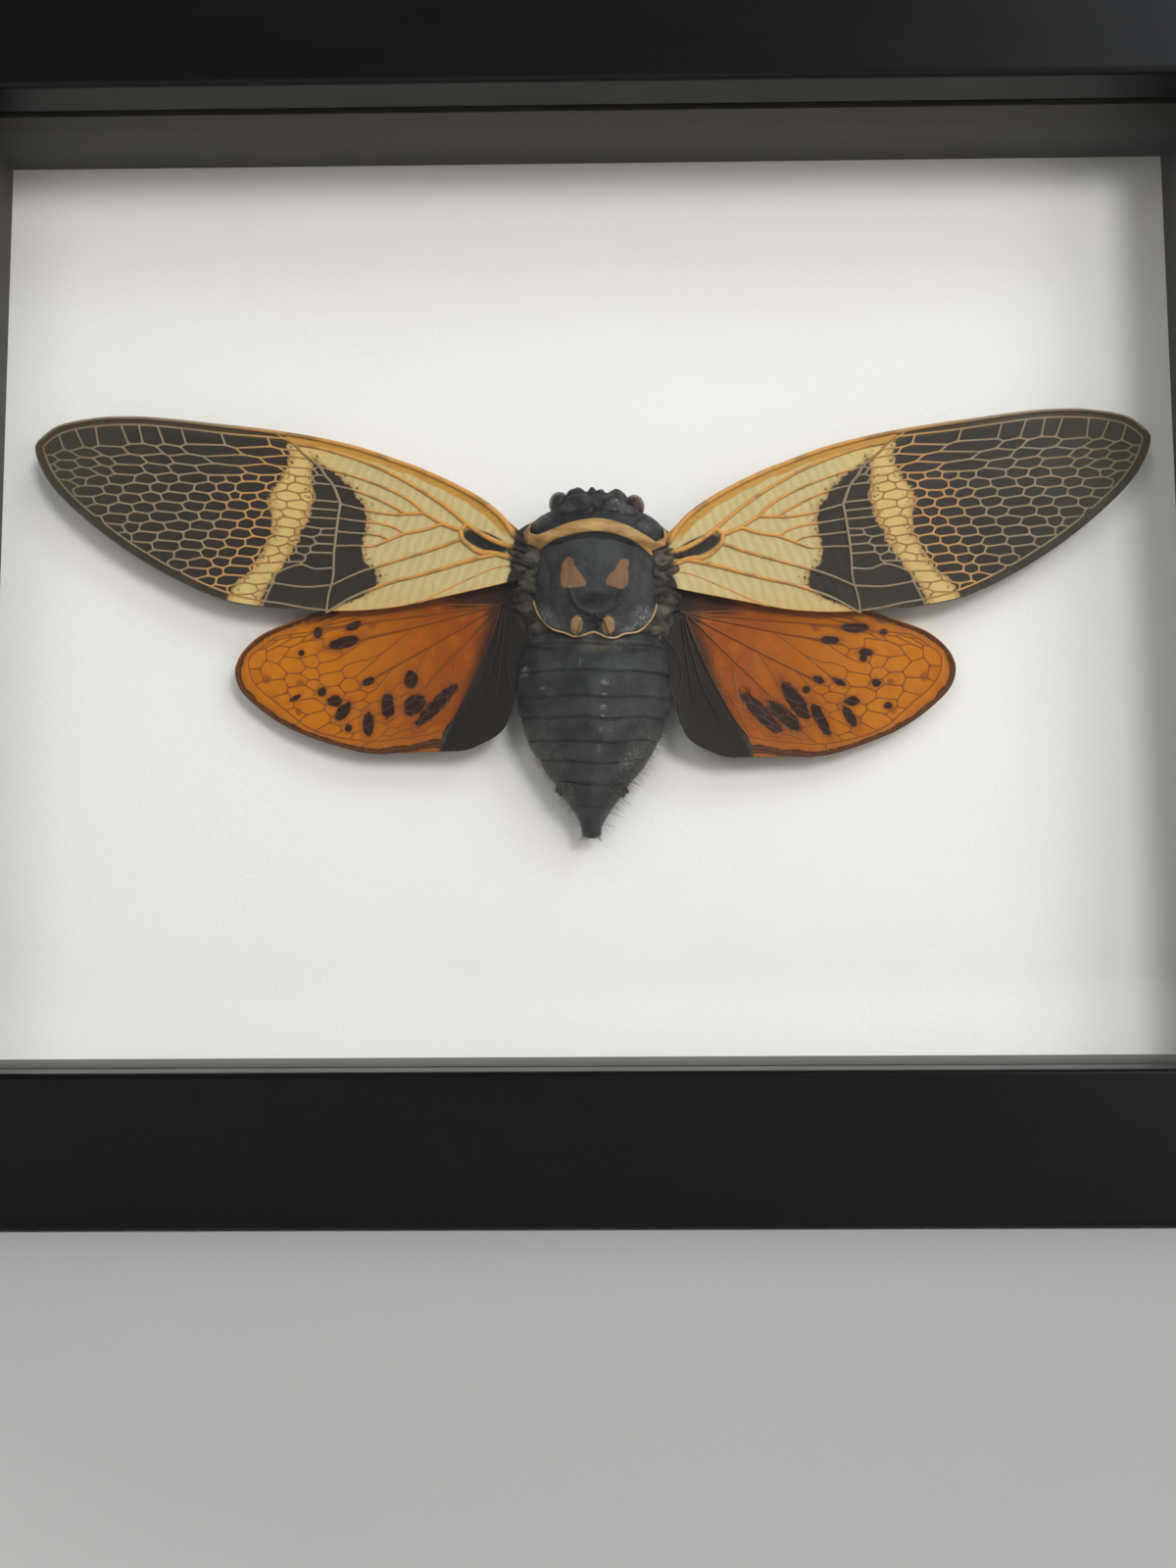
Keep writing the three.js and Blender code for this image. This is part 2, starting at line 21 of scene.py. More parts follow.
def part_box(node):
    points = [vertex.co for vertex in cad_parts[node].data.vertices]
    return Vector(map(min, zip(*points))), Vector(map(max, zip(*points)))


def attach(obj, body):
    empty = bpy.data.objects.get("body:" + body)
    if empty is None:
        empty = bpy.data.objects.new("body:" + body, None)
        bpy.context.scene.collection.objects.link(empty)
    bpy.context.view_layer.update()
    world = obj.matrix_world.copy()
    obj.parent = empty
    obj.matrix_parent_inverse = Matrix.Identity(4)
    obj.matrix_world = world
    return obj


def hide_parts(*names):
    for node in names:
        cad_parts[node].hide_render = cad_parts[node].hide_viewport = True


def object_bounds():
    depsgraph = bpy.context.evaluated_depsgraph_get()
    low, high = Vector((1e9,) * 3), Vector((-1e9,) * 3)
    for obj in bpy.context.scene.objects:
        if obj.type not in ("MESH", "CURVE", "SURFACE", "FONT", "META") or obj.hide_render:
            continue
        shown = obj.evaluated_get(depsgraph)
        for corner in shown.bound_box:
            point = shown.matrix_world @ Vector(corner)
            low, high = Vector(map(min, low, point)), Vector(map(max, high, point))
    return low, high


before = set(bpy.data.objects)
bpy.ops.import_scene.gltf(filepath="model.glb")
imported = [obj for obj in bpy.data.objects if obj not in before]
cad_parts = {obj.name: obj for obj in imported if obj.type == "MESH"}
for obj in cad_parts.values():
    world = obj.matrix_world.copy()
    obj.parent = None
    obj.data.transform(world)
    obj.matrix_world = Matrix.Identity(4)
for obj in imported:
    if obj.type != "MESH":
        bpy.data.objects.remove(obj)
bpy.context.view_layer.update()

MM = 0.001
whole_low, whole_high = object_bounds()
MIDDLE = (whole_low[2] + whole_high[2]) / 2
CARD_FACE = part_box("mount_card")[0][1]
STAND_UP = (Matrix.Translation((0, CARD_FACE, MIDDLE))
            @ Matrix.Rotation(math.pi / 2, 4, "X") @ Matrix.Scale(MM, 4))
print("middle of the opening at", MIDDLE, "card face at", CARD_FACE)

# %% [markdown]
# ## Camera
# The picture was taken from close in front with a wide lens, looking a little upwards.
# A camera's turn can be set as three angles, but a direction and a roll are easier to
# read, so the direction is made a rotation and the small roll is added to it.

# %% Camera
camera_data = bpy.data.cameras.new("camera")
camera_data.lens = 35.2
camera_data.sensor_width = 36
camera_data.clip_start = 0.01
camera = bpy.data.objects.new("camera", camera_data)
bpy.context.scene.collection.objects.link(camera)
looking = Vector((-0.0126, 0.9952, 0.0973))
CAMERA_ROLL = -0.0056
turn = looking.to_track_quat("-Z", "Y") @ Quaternion((0, 0, 1), CAMERA_ROLL)
camera.rotation_euler = turn.to_euler()
camera.location = (0.00203, -0.15541, 0.0267)
bpy.context.scene.camera = camera
print("camera stands", round(-camera.location.y, 3), "m in front of the frame's middle")

# %% [markdown]
# ## Shader sums
# A material is a small graph of nodes. Written out node by node it is hard to follow,
# so one class wraps an output socket: a sum of two such wires adds a Math node, and one
# method, `node`, makes any other node from its type, its settings and its inputs.

# %% The wire class
class Wire:
    def __init__(self, tree, socket=None):
        self.tree = tree
        self.socket = socket

    def node(self, kind, inputs=None, out=0, points=None, **settings):
        """Adds a node; inputs are numbers, colours or wires, points those of a curve."""
        made = self.tree.nodes.new("ShaderNode" + kind)
        for name, value in settings.items():
            setattr(made, name, value)
        if points:
            curve = made.mapping.curves[0]
            while len(curve.points) < len(points):
                curve.points.new(0.5, 0.5)
            for point, place in zip(curve.points, points):
                point.location = place
            made.mapping.update()
        for key, value in (inputs or {}).items():
            if isinstance(value, Wire):
                self.tree.links.new(value.socket, made.inputs[key])
            else:
                made.inputs[key].default_value = value
        return Wire(self.tree, made.outputs[out])

    def sum(self, operation, *values):
        return self.node("Math", dict(enumerate(values)), operation=operation)

    def __add__(self, other): return self.sum("ADD", self, other)
    def __radd__(self, other): return self.sum("ADD", other, self)
    def __sub__(self, other): return self.sum("SUBTRACT", self, other)
    def __mul__(self, other): return self.sum("MULTIPLY", self, other)
    def __rmul__(self, other): return self.sum("MULTIPLY", other, self)
    def __truediv__(self, other): return self.sum("DIVIDE", self, other)

    def smaller(self, other): return self.sum("MINIMUM", self, other)
    def larger(self, other): return self.sum("MAXIMUM", self, other)

    def step(self, low, high):
        """0 below low, 1 above high, and a smooth rise between them."""
        values = {0: self, 1: low, 2: high}
        return self.node("MapRange", values, interpolation_type="SMOOTHSTEP")

    def over(self, colour, mask):
        """This colour, and the given one where the mask is 1."""
        colour = colour if isinstance(colour, Wire) else paint(*colour)
        return self.node("Mix", {0: mask, 6: self, 7: colour}, out=2, data_type="RGBA")

    def parts(self):
        split = self.node("SeparateXYZ", {0: self})
        outputs = split.socket.node.outputs
        return [Wire(self.tree, outputs[i]) for i in range(3)]


def paint(red, green, blue):
    """A colour as read off a screen, 0 to 255, turned into the linear values nodes use."""
    shares = [value / 255 for value in (red, green, blue)]
    linear = [s / 12.92 if s <= 0.04045 else ((s + 0.055) / 1.055) ** 2.4 for s in shares]
    return (*linear, 1)


def blend(share, low, high):
    """The low colour where the share is 0, the high one where it is 1."""
    return share.node("Mix", {0: share, 6: paint(*low), 7: paint(*high)}, out=2, data_type="RGBA")

# %% A new material with its place in millimetres
def new_finish(name):
    """A material, and a wire that gives the place in the picture in mm."""
    material = bpy.data.materials.new(name)
    material.use_nodes = True
    start = Wire(material.node_tree)
    metres = start.node("TexCoord", out="Object")
    place = start.node("Mapping", {
        "Vector": metres,
        "Location": (0, -MIDDLE / MM, CARD_FACE / MM),
        "Rotation": (-math.pi / 2, 0, 0),
        "Scale": (1 / MM, 1 / MM, 1 / MM),
    })
    return material, place


def speckle(place, scale, detail, roughness, stretch=None):
    """Noise between 0 and 1; scale is its number of waves in a millimetre."""
    if stretch:
        place = place.node("Mapping", {"Vector": place, "Scale": stretch})
    inputs = {"Vector": place, "Scale": scale, "Detail": detail, "Roughness": roughness}
    return place.node("TexNoise", inputs)


def cover(material, values):
    """Links the wires among the values to the shader and sets the plain ones on it."""
    shader = material.node_tree.nodes["Principled BSDF"]
    for socket, value in values.items():
        if isinstance(value, Wire):
            value.tree.links.new(value.socket, shader.inputs[socket])
        else:
            shader.inputs[socket].default_value = value
    return material


def bump(height, distance, strength=1.0):
    """A relief of so many metres, from a height between 0 and 1."""
    return height.node("Bump", {"Height": height, "Distance": distance, "Strength": strength})

# %% [markdown]
# ## Finishes of the frame
# The moulding is wood with a smooth black lacquer that has a soft sheen and a few fine
# dents. One colour would look like plastic film, so a very fine relief breaks the sheen.

# %% Black lacquer, spacer, board and steel
def black_lacquer():
    material, place = new_finish("black_lacquer")
    grain = speckle(place, 0.35, 4, 0.6, (0.15, 1, 1))
    fine = speckle(place, 6.0, 3, 0.6)
    colour = blend(grain, (7, 7, 7), (12, 12, 12))
    return cover(material, {"Base Color": colour, "Roughness": 0.34 + 0.1 * grain,
                            "Normal": bump(fine, 0.00002, 0.5), "Specular IOR Level": 0.3})


def spacer_plastic():
    material, place = new_finish("spacer_plastic")
    fine = speckle(place, 3.0, 4, 0.6)
    colour = blend(fine, (52, 48, 45), (74, 69, 65))
    return cover(material, {"Base Color": colour, "Roughness": 0.55 + 0.15 * fine,
                            "Normal": bump(fine, 0.00002, 0.4)})


def card_paper():
    material, place = new_finish("card_paper")
    tooth = speckle(place, 1.6, 6, 0.65)
    broad = speckle(place, 0.05, 2, 0.5)
    tone = blend(broad, (238, 236, 233), (243, 242, 240))
    return cover(material, {"Base Color": tone, "Roughness": 0.9 + 0.06 * tooth,
                            "Normal": bump(tooth, 0.0001, 0.35), "Specular IOR Level": 0.25})


def fibre_board():
    material, place = new_finish("fibre_board")
    fibres = speckle(place, 1.2, 8, 0.7, (1, 2.5, 1))
    fine = speckle(place, 5.0, 6, 0.7)
    colour = blend(fibres, (112, 84, 56), (156, 122, 84))
    colour = colour.over((88, 62, 40), fine.step(0.6, 0.75) * 0.5)
    return cover(material, {"Base Color": colour, "Roughness": 0.8 + 0.12 * fine,
                            "Normal": bump(fibres, 0.0001, 0.6)})


def zinc_steel():
    material, place = new_finish("zinc_steel")
    marks = speckle(place, 2.0, 6, 0.65, (0.4, 3, 1))
    stains = speckle(place, 0.6, 4, 0.6)
    colour = blend(marks, (148, 150, 152), (196, 198, 198))
    return cover(material, {"Base Color": colour.over((120, 112, 98), stains.step(0.6, 0.8) * 0.5),
                            "Roughness": 0.28 + 0.25 * marks, "Metallic": 1.0,
                            "Normal": bump(marks, 0.00003, 0.5)})

# %% [markdown]
# ## Glass
# The pane is clear, plain glass. A real pane lets lamp light through, but in a path
# tracer glass casts a dark shadow unless the shadow rays are let through, so the shader
# swaps to plain transparency for those rays alone.

# %% Clear glass
def clear_glass():
    material, place = new_finish("clear_glass")
    cover(material, {"Base Color": (0.985, 0.995, 0.99, 1), "Roughness": 0.0,
                     "Transmission Weight": 1.0, "IOR": 1.5})
    tree = material.node_tree
    through = place.node("BsdfTransparent", {"Color": (0.97, 0.98, 0.975, 1)})
    lamp_ray = place.node("LightPath", out="Is Shadow Ray")
    both = place.node("MixShader", {0: lamp_ray, 2: through})
    tree.links.new(tree.nodes["Principled BSDF"].outputs[0], both.socket.node.inputs[1])
    tree.links.new(both.socket, tree.nodes["Material Output"].inputs["Surface"])
    return material


def dress(prefixes, material):
    """Puts a material in the slots of the ready-made parts with these names."""
    for name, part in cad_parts.items():
        if name.startswith(prefixes):
            for slot in part.material_slots:
                slot.material = material


dress(("frame_",), black_lacquer())
dress(("spacer_",), spacer_plastic())
dress(("mount_card",), card_paper())
dress(("back_board",), fibre_board())
dress(("point_", "sawtooth_", "hanger_"), zinc_steel())
dress(("glass_",), clear_glass())
print("finishes on", sum(len(part.material_slots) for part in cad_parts.values()), "slots")

# %% [markdown]
# ## Floor and lights
# A pale floor carries the frame. Far out, where only the glass mirrors it, its colour is painted
# darker as painted shade. Two soft lamps stand at the right, a cool one high up and a warm one
# low down, so the shadows fall to the left, bluish on one side and rosy on the other. Three lamps
# in front fill in. A pane mirrors whatever stands before it, so these three are hidden from
# mirrored and refracted rays. One lamp lights the back, and a dim white world does the rest.

# %% Floor
def new_object(name, mesh):
    made = bpy.data.objects.new(name, mesh)
    bpy.context.scene.collection.objects.link(made)
    return made


FLOOR_HALF = 2.5
FLOOR_GAP = 0.1 * MM
FADE_FROM, FADE_TO = 240, 680


def pale_floor():
    sheet = bmesh.new()
    bmesh.ops.create_grid(sheet, x_segments=4, y_segments=4, size=FLOOR_HALF)
    bmesh.ops.translate(sheet, verts=sheet.verts, vec=(0, 0, whole_low[2] - FLOOR_GAP))
    mesh = bpy.data.meshes.new("floor")
    sheet.to_mesh(mesh)
    sheet.free()
    material, place = new_finish("pale_floor")
    cloud = speckle(place, 0.01, 3, 0.5)
    colour = blend(cloud, (222, 220, 216), (232, 230, 227))
    # Painted shade: far from the middle the floor's colour turns grey, a fall-off of light painted in.
    painted_falloff = place.node("VectorMath", {0: place}, out="Value", operation="LENGTH")
    painted_falloff = painted_falloff.step(FADE_FROM, FADE_TO)
    cover(material, {"Base Color": colour.over((112, 112, 114), painted_falloff), "Roughness": 0.85})
    mesh.materials.append(material)
    return new_object("floor", mesh)


pale_floor()

# %% Lamps and world
LAMPS = {"cool_lamp": ((0.52, -0.6, 0.66), 0.34, 2.1, (0.8, 0.9, 1.0)),
         "warm_lamp": ((0.52, -0.6, 0.06), 0.3, 1.05, (1.0, 0.86, 0.72)),
         "key_lamp": ((0.27, -0.75, 0.24), 0.2, 2.75, (1.0, 0.975, 0.945)),
         "low_fill_lamp": ((-0.25, -0.8, 0.22), 0.4, 1.3, (1.0, 0.91, 0.83)),
         "high_fill_lamp": ((-0.1, -0.7, 0.6), 0.7, 1.5, (0.88, 0.97, 1.0)),
         "back_lamp": ((-0.5, 0.8, 0.6), 0.5, 6.0, (1.0, 0.99, 0.97))}
FRONTAL = ("key_lamp", "low_fill_lamp", "high_fill_lamp")
WORLD_COLOUR, WORLD_STRENGTH = (0.94, 0.95, 0.97, 1), 0.14


def soft_lamp(name, place, size, power, colour):
    """A round lamp at a place in metres that looks at the frame's middle."""
    lamp = bpy.data.lights.new(name, "AREA")
    lamp.shape = "DISK"
    lamp.size = size
    lamp.energy = power
    lamp.color = colour
    stand = new_object(name, lamp)
    stand.location = place
    aim = Vector((0, 0, MIDDLE)) - Vector(place)
    stand.rotation_euler = aim.to_track_quat("-Z", "Y").to_euler()
    return stand


for name, values in LAMPS.items():
    lamp = soft_lamp(name, *values)
    lamp.visible_glossy = lamp.visible_transmission = name not in FRONTAL
world = bpy.data.worlds.new("studio")
bpy.context.scene.world = world
world.use_nodes = True
backdrop = world.node_tree.nodes["Background"]
backdrop.inputs["Color"].default_value = WORLD_COLOUR
backdrop.inputs["Strength"].default_value = WORLD_STRENGTH
bpy.context.scene.view_settings.view_transform = "Standard"
print(len(LAMPS), "lamps of", sum(values[2] for values in LAMPS.values()), "W in all")

# %% [markdown]
# ## Lines for the wings
# A cicada's wing is a film stretched over a net of veins. We draw the net first, as lines
# in the picture's plane: the outline, the main veins that can be followed by eye, and a
# net of staggered cells in the outer part. All of it is drawn for the left wing.

# %% Line helpers
def smooth_line(points, step=0.6):
    """Points along a smooth curve that passes through the given ones."""
    places = [Vector(point) for point in points]
    first, last = 2 * places[0] - places[1], 2 * places[-1] - places[-2]
    ends = [first, *places, last]
    line = []
    for a, b, c, d in zip(ends, ends[1:], ends[2:], ends[3:]):
        count = max(1, round((c - b).length / step))
        for i in range(count):
            t = i / count
            line.append(0.5 * (2 * b + (c - a) * t + (2 * a - 5 * b + 4 * c - d) * t * t
                               + (3 * b - a - 3 * c + d) * t ** 3))
    return [*line, places[-1]]


def chopped(points, step=0.6):
    """The same straight pieces, with points close enough together to round the corners."""
    line = []
    for a, b in zip(points, points[1:]):
        a, b = Vector(a), Vector(b)
        count = max(1, math.ceil((b - a).length / step))
        line.extend(a.lerp(b, i / count) for i in range(count))
    return [*line, Vector(points[-1])]


def between(value, low, high):
    """0 at low, 1 at high and straight between them."""
    return min(1.0, max(0.0, (value - low) / (high - low)))


def inside(point, polygon):
    """Whether a ray from the point crosses the polygon's sides an odd number of times."""
    x, y = point
    found = False
    for a, b in zip(polygon, polygon[1:] + polygon[:1]):
        if (a[1] > y) != (b[1] > y) and x < a[0] + (y - a[1]) * (b[0] - a[0]) / (b[1] - a[1]):
            found = not found
    return found


def offset_line(line, width):
    """A line beside this one, on its left, as far off as width(point) says."""
    moved = []
    for i, point in enumerate(line):
        ahead = line[min(i + 1, len(line) - 1)] - line[max(i - 1, 0)]
        side = Vector((-ahead.y, ahead.x)).normalized()
        moved.append(point + side * width(point, i))
    return moved

# %% Outlines
FORE_LEADING = [(-4.6, 3.6), (-7, 4.9), (-8.4, 6.9), (-10.5, 8.8), (-13.4, 10.6), (-17, 12.4),
                (-24.2, 15.1), (-31.5, 16.8), (-38.8, 17.8), (-46, 18.7), (-51.1, 18.6),
                (-54.9, 17.8), (-57, 16.2)]
FORE_TRAILING = [(-57.2, 14.9), (-55.8, 12), (-53.1, 9), (-48.3, 5.1), (-42.8, 1.7), (-37, -0.9),
                 (-31.2, -1.8), (-24.1, -2.2), (-18.4, -1.8), (-15.5, -0.9), (-12.6, 0.4),
                 (-8.4, 1.9), (-5, 0.8)]
HIND_LEADING = [(-4.6, 0.6), (-8, 1.8), (-11, 1.4), (-14, 0.8), (-17, 0.1), (-20, -0.3),
                (-22.5, -0.8), (-25, -1.3), (-27.6, -1.9), (-30.7, -3), (-33.6, -4.3),
                (-35.5, -6.1), (-36.2, -7.7)]
HIND_TRAILING = [(-36, -9.3), (-34.9, -10.9), (-31.6, -13.4), (-27.7, -15.2), (-22.3, -16.7),
                 (-18.5, -16.4), (-15.2, -15.8), (-13.1, -16.6), (-11.2, -16.2), (-8.4, -14.5),
                 (-7.6, -11.4), (-7.9, -6.5), (-5, -2.4)]
fore_outline = smooth_line(FORE_LEADING + FORE_TRAILING)
hind_outline = smooth_line(HIND_LEADING + HIND_TRAILING)
print(len(fore_outline), "points round the forewing,", len(hind_outline), "round the hindwing")

# %% Main veins of the forewing
FORE_NODE = [(-32.6, 17.1), (-31.3, 16.1), (-30.1, 15.4), (-29.3, 14.5), (-28.3, 13.7),
             (-27.4, 12.9), (-26.8, 11.9), (-26, 10.9), (-25.2, 8.9)]
FORE_NODAL = [(-25.2, 8.9), (-25.5, 6.8), (-25.8, 3.8), (-25.9, 1.3), (-26.4, -0.6), (-26.6, -2.4)]
FORE_MAINS = {
    "costa": [(-30.1, 15.4), (-27, 14.8), (-22.5, 13.2), (-18.6, 11.2), (-14.8, 8.7), (-12.1, 6.4)],
    "node": FORE_NODE,
    "nodal": FORE_NODAL,
    "first": [(-27.4, 12.9), (-24.4, 12), (-21.5, 10.9), (-19, 9.7), (-17.5, 8.7), (-16.5, 7.7)],
    "second": [(-26, 10.9), (-23.7, 10.3), (-21.3, 9.3), (-19.4, 8.3), (-18.3, 7.7), (-16.5, 7.7)],
    "third": [(-25.2, 8.9), (-23.4, 8.4), (-21.3, 7.9), (-19, 7.6), (-18.3, 7.7)],
    "fourth": [(-25.4, 7.4), (-23.6, 7.1), (-21.3, 6.8), (-19.6, 6.3), (-18.5, 5.6)],
    "fifth": [(-25.6, 6), (-23.6, 5.8), (-22.5, 5.7), (-21.1, 5.5), (-20.1, 5)],
    "sixth": [(-25.8, 4.5), (-23.6, 4.5), (-21.7, 4.4), (-20.1, 5)],
    "fork": [(-20.1, 5), (-18.5, 5.6), (-16.7, 5.9), (-14.6, 6.5)],
    "stem": [(-16.5, 7.7), (-15.5, 7.1), (-14.6, 6.5), (-13.6, 6.1), (-12.7, 5.8), (-12.1, 6.4)],
    "cubitus": [(-12.6, 4.9), (-15.2, 4), (-17.6, 3.3), (-20.5, 2.5), (-23.2, 1.7), (-26, 0.5)],
    "black_cell_end": [(-12.7, 5.8), (-12.6, 4.9), (-11.7, 4), (-10.7, 3.4), (-9, 3.2), (-5, 1.6)],
    "black_cell_top": [(-12.1, 6.4), (-10.3, 5.1), (-8.2, 4.1), (-4.9, 3.1)],
    "anal": [(-9, 3.2), (-11.9, 2.6), (-14.8, 1.8), (-17.6, 1.1), (-19.5, 0.7), (-22.4, -0.2),
             (-24.3, -1), (-26.5, -2.3)],
    "patch_one": [(-25.8, 2.3), (-27.8, 2.2), (-29.4, 2.7), (-31.8, 1.9), (-32.2, 0.9)],
    "patch_two": [(-25.8, 4.4), (-27.8, 3.9), (-29.4, 2.7)],
    "patch_three": [(-26, 0.5), (-29.1, 0.4), (-32.2, 0.9)],
    "patch_four": [(-32.2, 0.9), (-32.9, -0.6), (-33.6, -2.2)],
}

# %% [markdown]
# ### The outer net
# The cells of the outer wing lie in long rows like bricks. Each row line bends a little
# towards every cross vein that meets it, and that bend is what turns bricks into the
# rounded six-sided cells of the real wing. A seeded random choice spaces the cross veins.

# %% Rows of cells in the forewing
ROWS = 17
FULL_ROWS = 13       # the lowest four rows start further out
TOP_ROW = 15.1       # height of the first row line, mm
ROW_PITCH = 0.94
BEND = 0.14          # how far a row line is drawn to a cross vein
NET_START, NET_END = -31.5, -57.5
CLOSEST = 0.55       # between cross veins of two rows, mm


def leading_height(x):
    """Height of the forewing's leading edge at x."""
    for (x0, y0), (x1, y1) in zip(FORE_LEADING[3:], FORE_LEADING[4:]):
        if x1 <= x <= x0:
            return y0 + (y1 - y0) * (x0 - x) / (x0 - x1)
    return FORE_LEADING[-1][1]


def row_height(row, x):
    """Height of a row line at x; the upper rows follow the leading edge."""
    follow = 0.5 * (1 - row / ROWS) ** 1.5
    rise = leading_height(x) - leading_height(NET_START)
    slope = -0.05 * max(0, NET_START - x)
    return TOP_ROW - ROW_PITCH * row + follow * rise + (1 - follow) * slope


def cell_length(row, x):
    """Long cells along the leading edge, short ones by the band and at the tip."""
    if row <= 2 and x > -40:
        return random.uniform(3.6, 6.0)
    if x < -50:
        return random.triangular(1.2, 2.3, 1.6)
    if 3 <= row <= FULL_ROWS and x > -38:
        return random.triangular(1.3, 2.5, 1.8)
    return random.triangular(1.5, 3.4, 2.3)


def fore_net():
    """The row lines, each bent to its cross veins, and the cross veins themselves."""
    random.seed(11)
    meetings = {row: [] for row in range(-1, ROWS + 1)}
    crossings = []
    above = []
    for row in range(-1, ROWS):
        x = (-26.5 if row < FULL_ROWS else -32.4) - random.uniform(0.4, 2.0)
        here = []
        while x > NET_END:
            if any(abs(x - other) < CLOSEST for other in above):
                x -= 0.2
                continue
            slant = random.uniform(-0.35, 0.35) + (0.8 if row <= 2 or x < -52 else 0.1)
            high = Vector((x, row_height(row, x) - (BEND if row >= 0 else -1.6)))
            low = Vector((x + slant, row_height(row + 1, x + slant) + BEND))
            crossings.append([high, low])
            meetings[row].append(high)
            meetings[row + 1].append(low)
            here.append(x + slant)
            x -= cell_length(row, x)
        above = here
    rows = []
    for row in range(0, ROWS + 1):
        start = -24.0 if row < FULL_ROWS else -31.0
        points = sorted(meetings[row], key=lambda point: -point.x)
        first, last = (Vector((x, row_height(row, x))) for x in (start, NET_END - 1.5))
        rows.append([first, *points, last])
    return rows + crossings


def fore_margin(point, i):
    """Width of the plain margin, which widens towards the tip."""
    if i < len(fore_outline) * 0.5:
        return 0.55 + 0.3 * between(-point.x, 29, 36)
    return 0.3 + 0.55 * between(-point.x, 27, 38)


beside = offset_line(fore_outline, fore_margin)
fore_border = [(-30.1, 15.4), *[tuple(p) for p in beside if p.x < -31], (-29, -1.75), (-26.5, -2.1)]
fore_zone = [*fore_border, (-26.4, -0.6), (-25.9, 1.3), (-25.5, 6.8), (-25.2, 8.9), (-26, 10.9),
             (-27.4, 12.9), (-28.3, 13.7), (-29.3, 14.5)]

# %% Veins and net of the hindwing
HIND_ROOT = Vector((-8.7, -1.7))
HIND_BORDER = [(-21.2, -1.4), (-25.5, -2.6), (-29.3, -4), (-32, -4.5), (-33.4, -5.5), (-34.6, -6.4),
               (-34.9, -7.4), (-34.5, -8.8), (-33.5, -10.1), (-31.7, -11.5), (-29.3, -13.5),
               (-27.4, -14.5), (-25, -15.1), (-21.8, -15.5), (-19, -15.2), (-16.3, -14.9),
               (-14.7, -14.5)]
HIND_LOBE_LINE = [(-8.7, -2), (-9.6, -4.8), (-10.8, -7.8), (-12.2, -10.7), (-13.5, -13.1),
                  (-14.6, -14.6), (-15, -16.2)]
HIND_FOLDS = [[(-8.5, -2.2), (-9.2, -6), (-10.4, -10), (-12.4, -14), (-13.4, -17)],
              [(-8.3, -2.4), (-8.7, -7), (-9.3, -11.5), (-10.6, -16.6)]]
FAN = 20             # sectors between the lines that radiate from the root
FEW_VEINS = 7        # the first of these lines start further out
FLARE = 0.16         # share of the way in which a line leaves its neighbour
LEAN = 0.16          # how far a line is drawn to a cross vein, in sectors
hind_border = smooth_line(HIND_BORDER)
print("border lines have", len(fore_border), "and", len(hind_border), "points")


def fan_place(share, reach):
    """A point on the fan: share along the border, reach from the root outwards."""
    spot = min(1.0, max(0.0, share)) * (len(hind_border) - 1)
    low = min(int(spot), len(hind_border) - 2)
    edge = hind_border[low].lerp(hind_border[low + 1], spot - low)
    return HIND_ROOT.lerp(edge, reach)


def hind_net():
    """Lines that fork off one another and radiate to the margin, with cross veins between."""
    random.seed(5)
    starts = {k: (0.1, 0.52, 0.34, 0.48)[k % 4] + (0.26 if k < FEW_VEINS and k % 4 else 0)
              for k in range(FAN + 1)}
    lines, crossings = [], []
    meetings = {k: [] for k in range(FAN + 1)}
    above = []
    for k in range(FAN):
        reach = 0.45 + random.uniform(0, 0.1)
        first = max(starts[k], starts[k + 1]) + 0.03
        here = []
        while reach < 0.97:
            if any(abs(reach - other) < 0.02 for other in above):
                reach += 0.007
                continue
            if reach > first:
                lean = random.uniform(-0.02, 0.02)
                meetings[k].append((reach, LEAN))
                meetings[k + 1].append((reach + lean, -LEAN))
                crossings.append((k, reach, reach + lean))
                here.append(reach + lean)
            reach += random.triangular(0.045, 0.1, 0.065)
        above = here

    def bent(k, reach, push):
        return fan_place((k + push) / FAN, reach)

    for k in range(FAN + 1):
        start = starts[k]
        neighbour = k - (2.35 if k % 4 == 2 else 1.35) if k % 4 else k
        points = []
        for i in range(9):
            share = (neighbour + (k - neighbour) * (i / 8) ** 0.7) / FAN
            points.append(fan_place(share, start + FLARE * i / 8))
        for reach, push in sorted(meetings[k]):
            if reach > start + FLARE + 0.01:
                points.append(bent(k, reach, push))
        points.append(fan_place(k / FAN, 1.04))
        lines.append(points)
    for k, high, low in crossings:
        lines.append([bent(k, high, LEAN), bent(k + 1, low, -LEAN)])
    return lines


hind_zone = [tuple(HIND_ROOT), *map(tuple, hind_border)]

# %% [markdown]
# ### From lines to cells
# A constrained triangulation finds the faces between crossing lines, which no single mesh
# operator does. It runs twice: once to split the lines where they cross, so that what
# sticks out of the net can be dropped, and once more to fill what is left with triangles.
# Dissolving every edge that isn't one of our lines then leaves one face for each cell.

# %% Cells between the lines
KEEP_ALL = 1          # the triangulation's output type that keeps every input line
SAME_SPOT = 0.002
MERGE = 0.1
SMALLEST_CELL = 0.45  # square mm


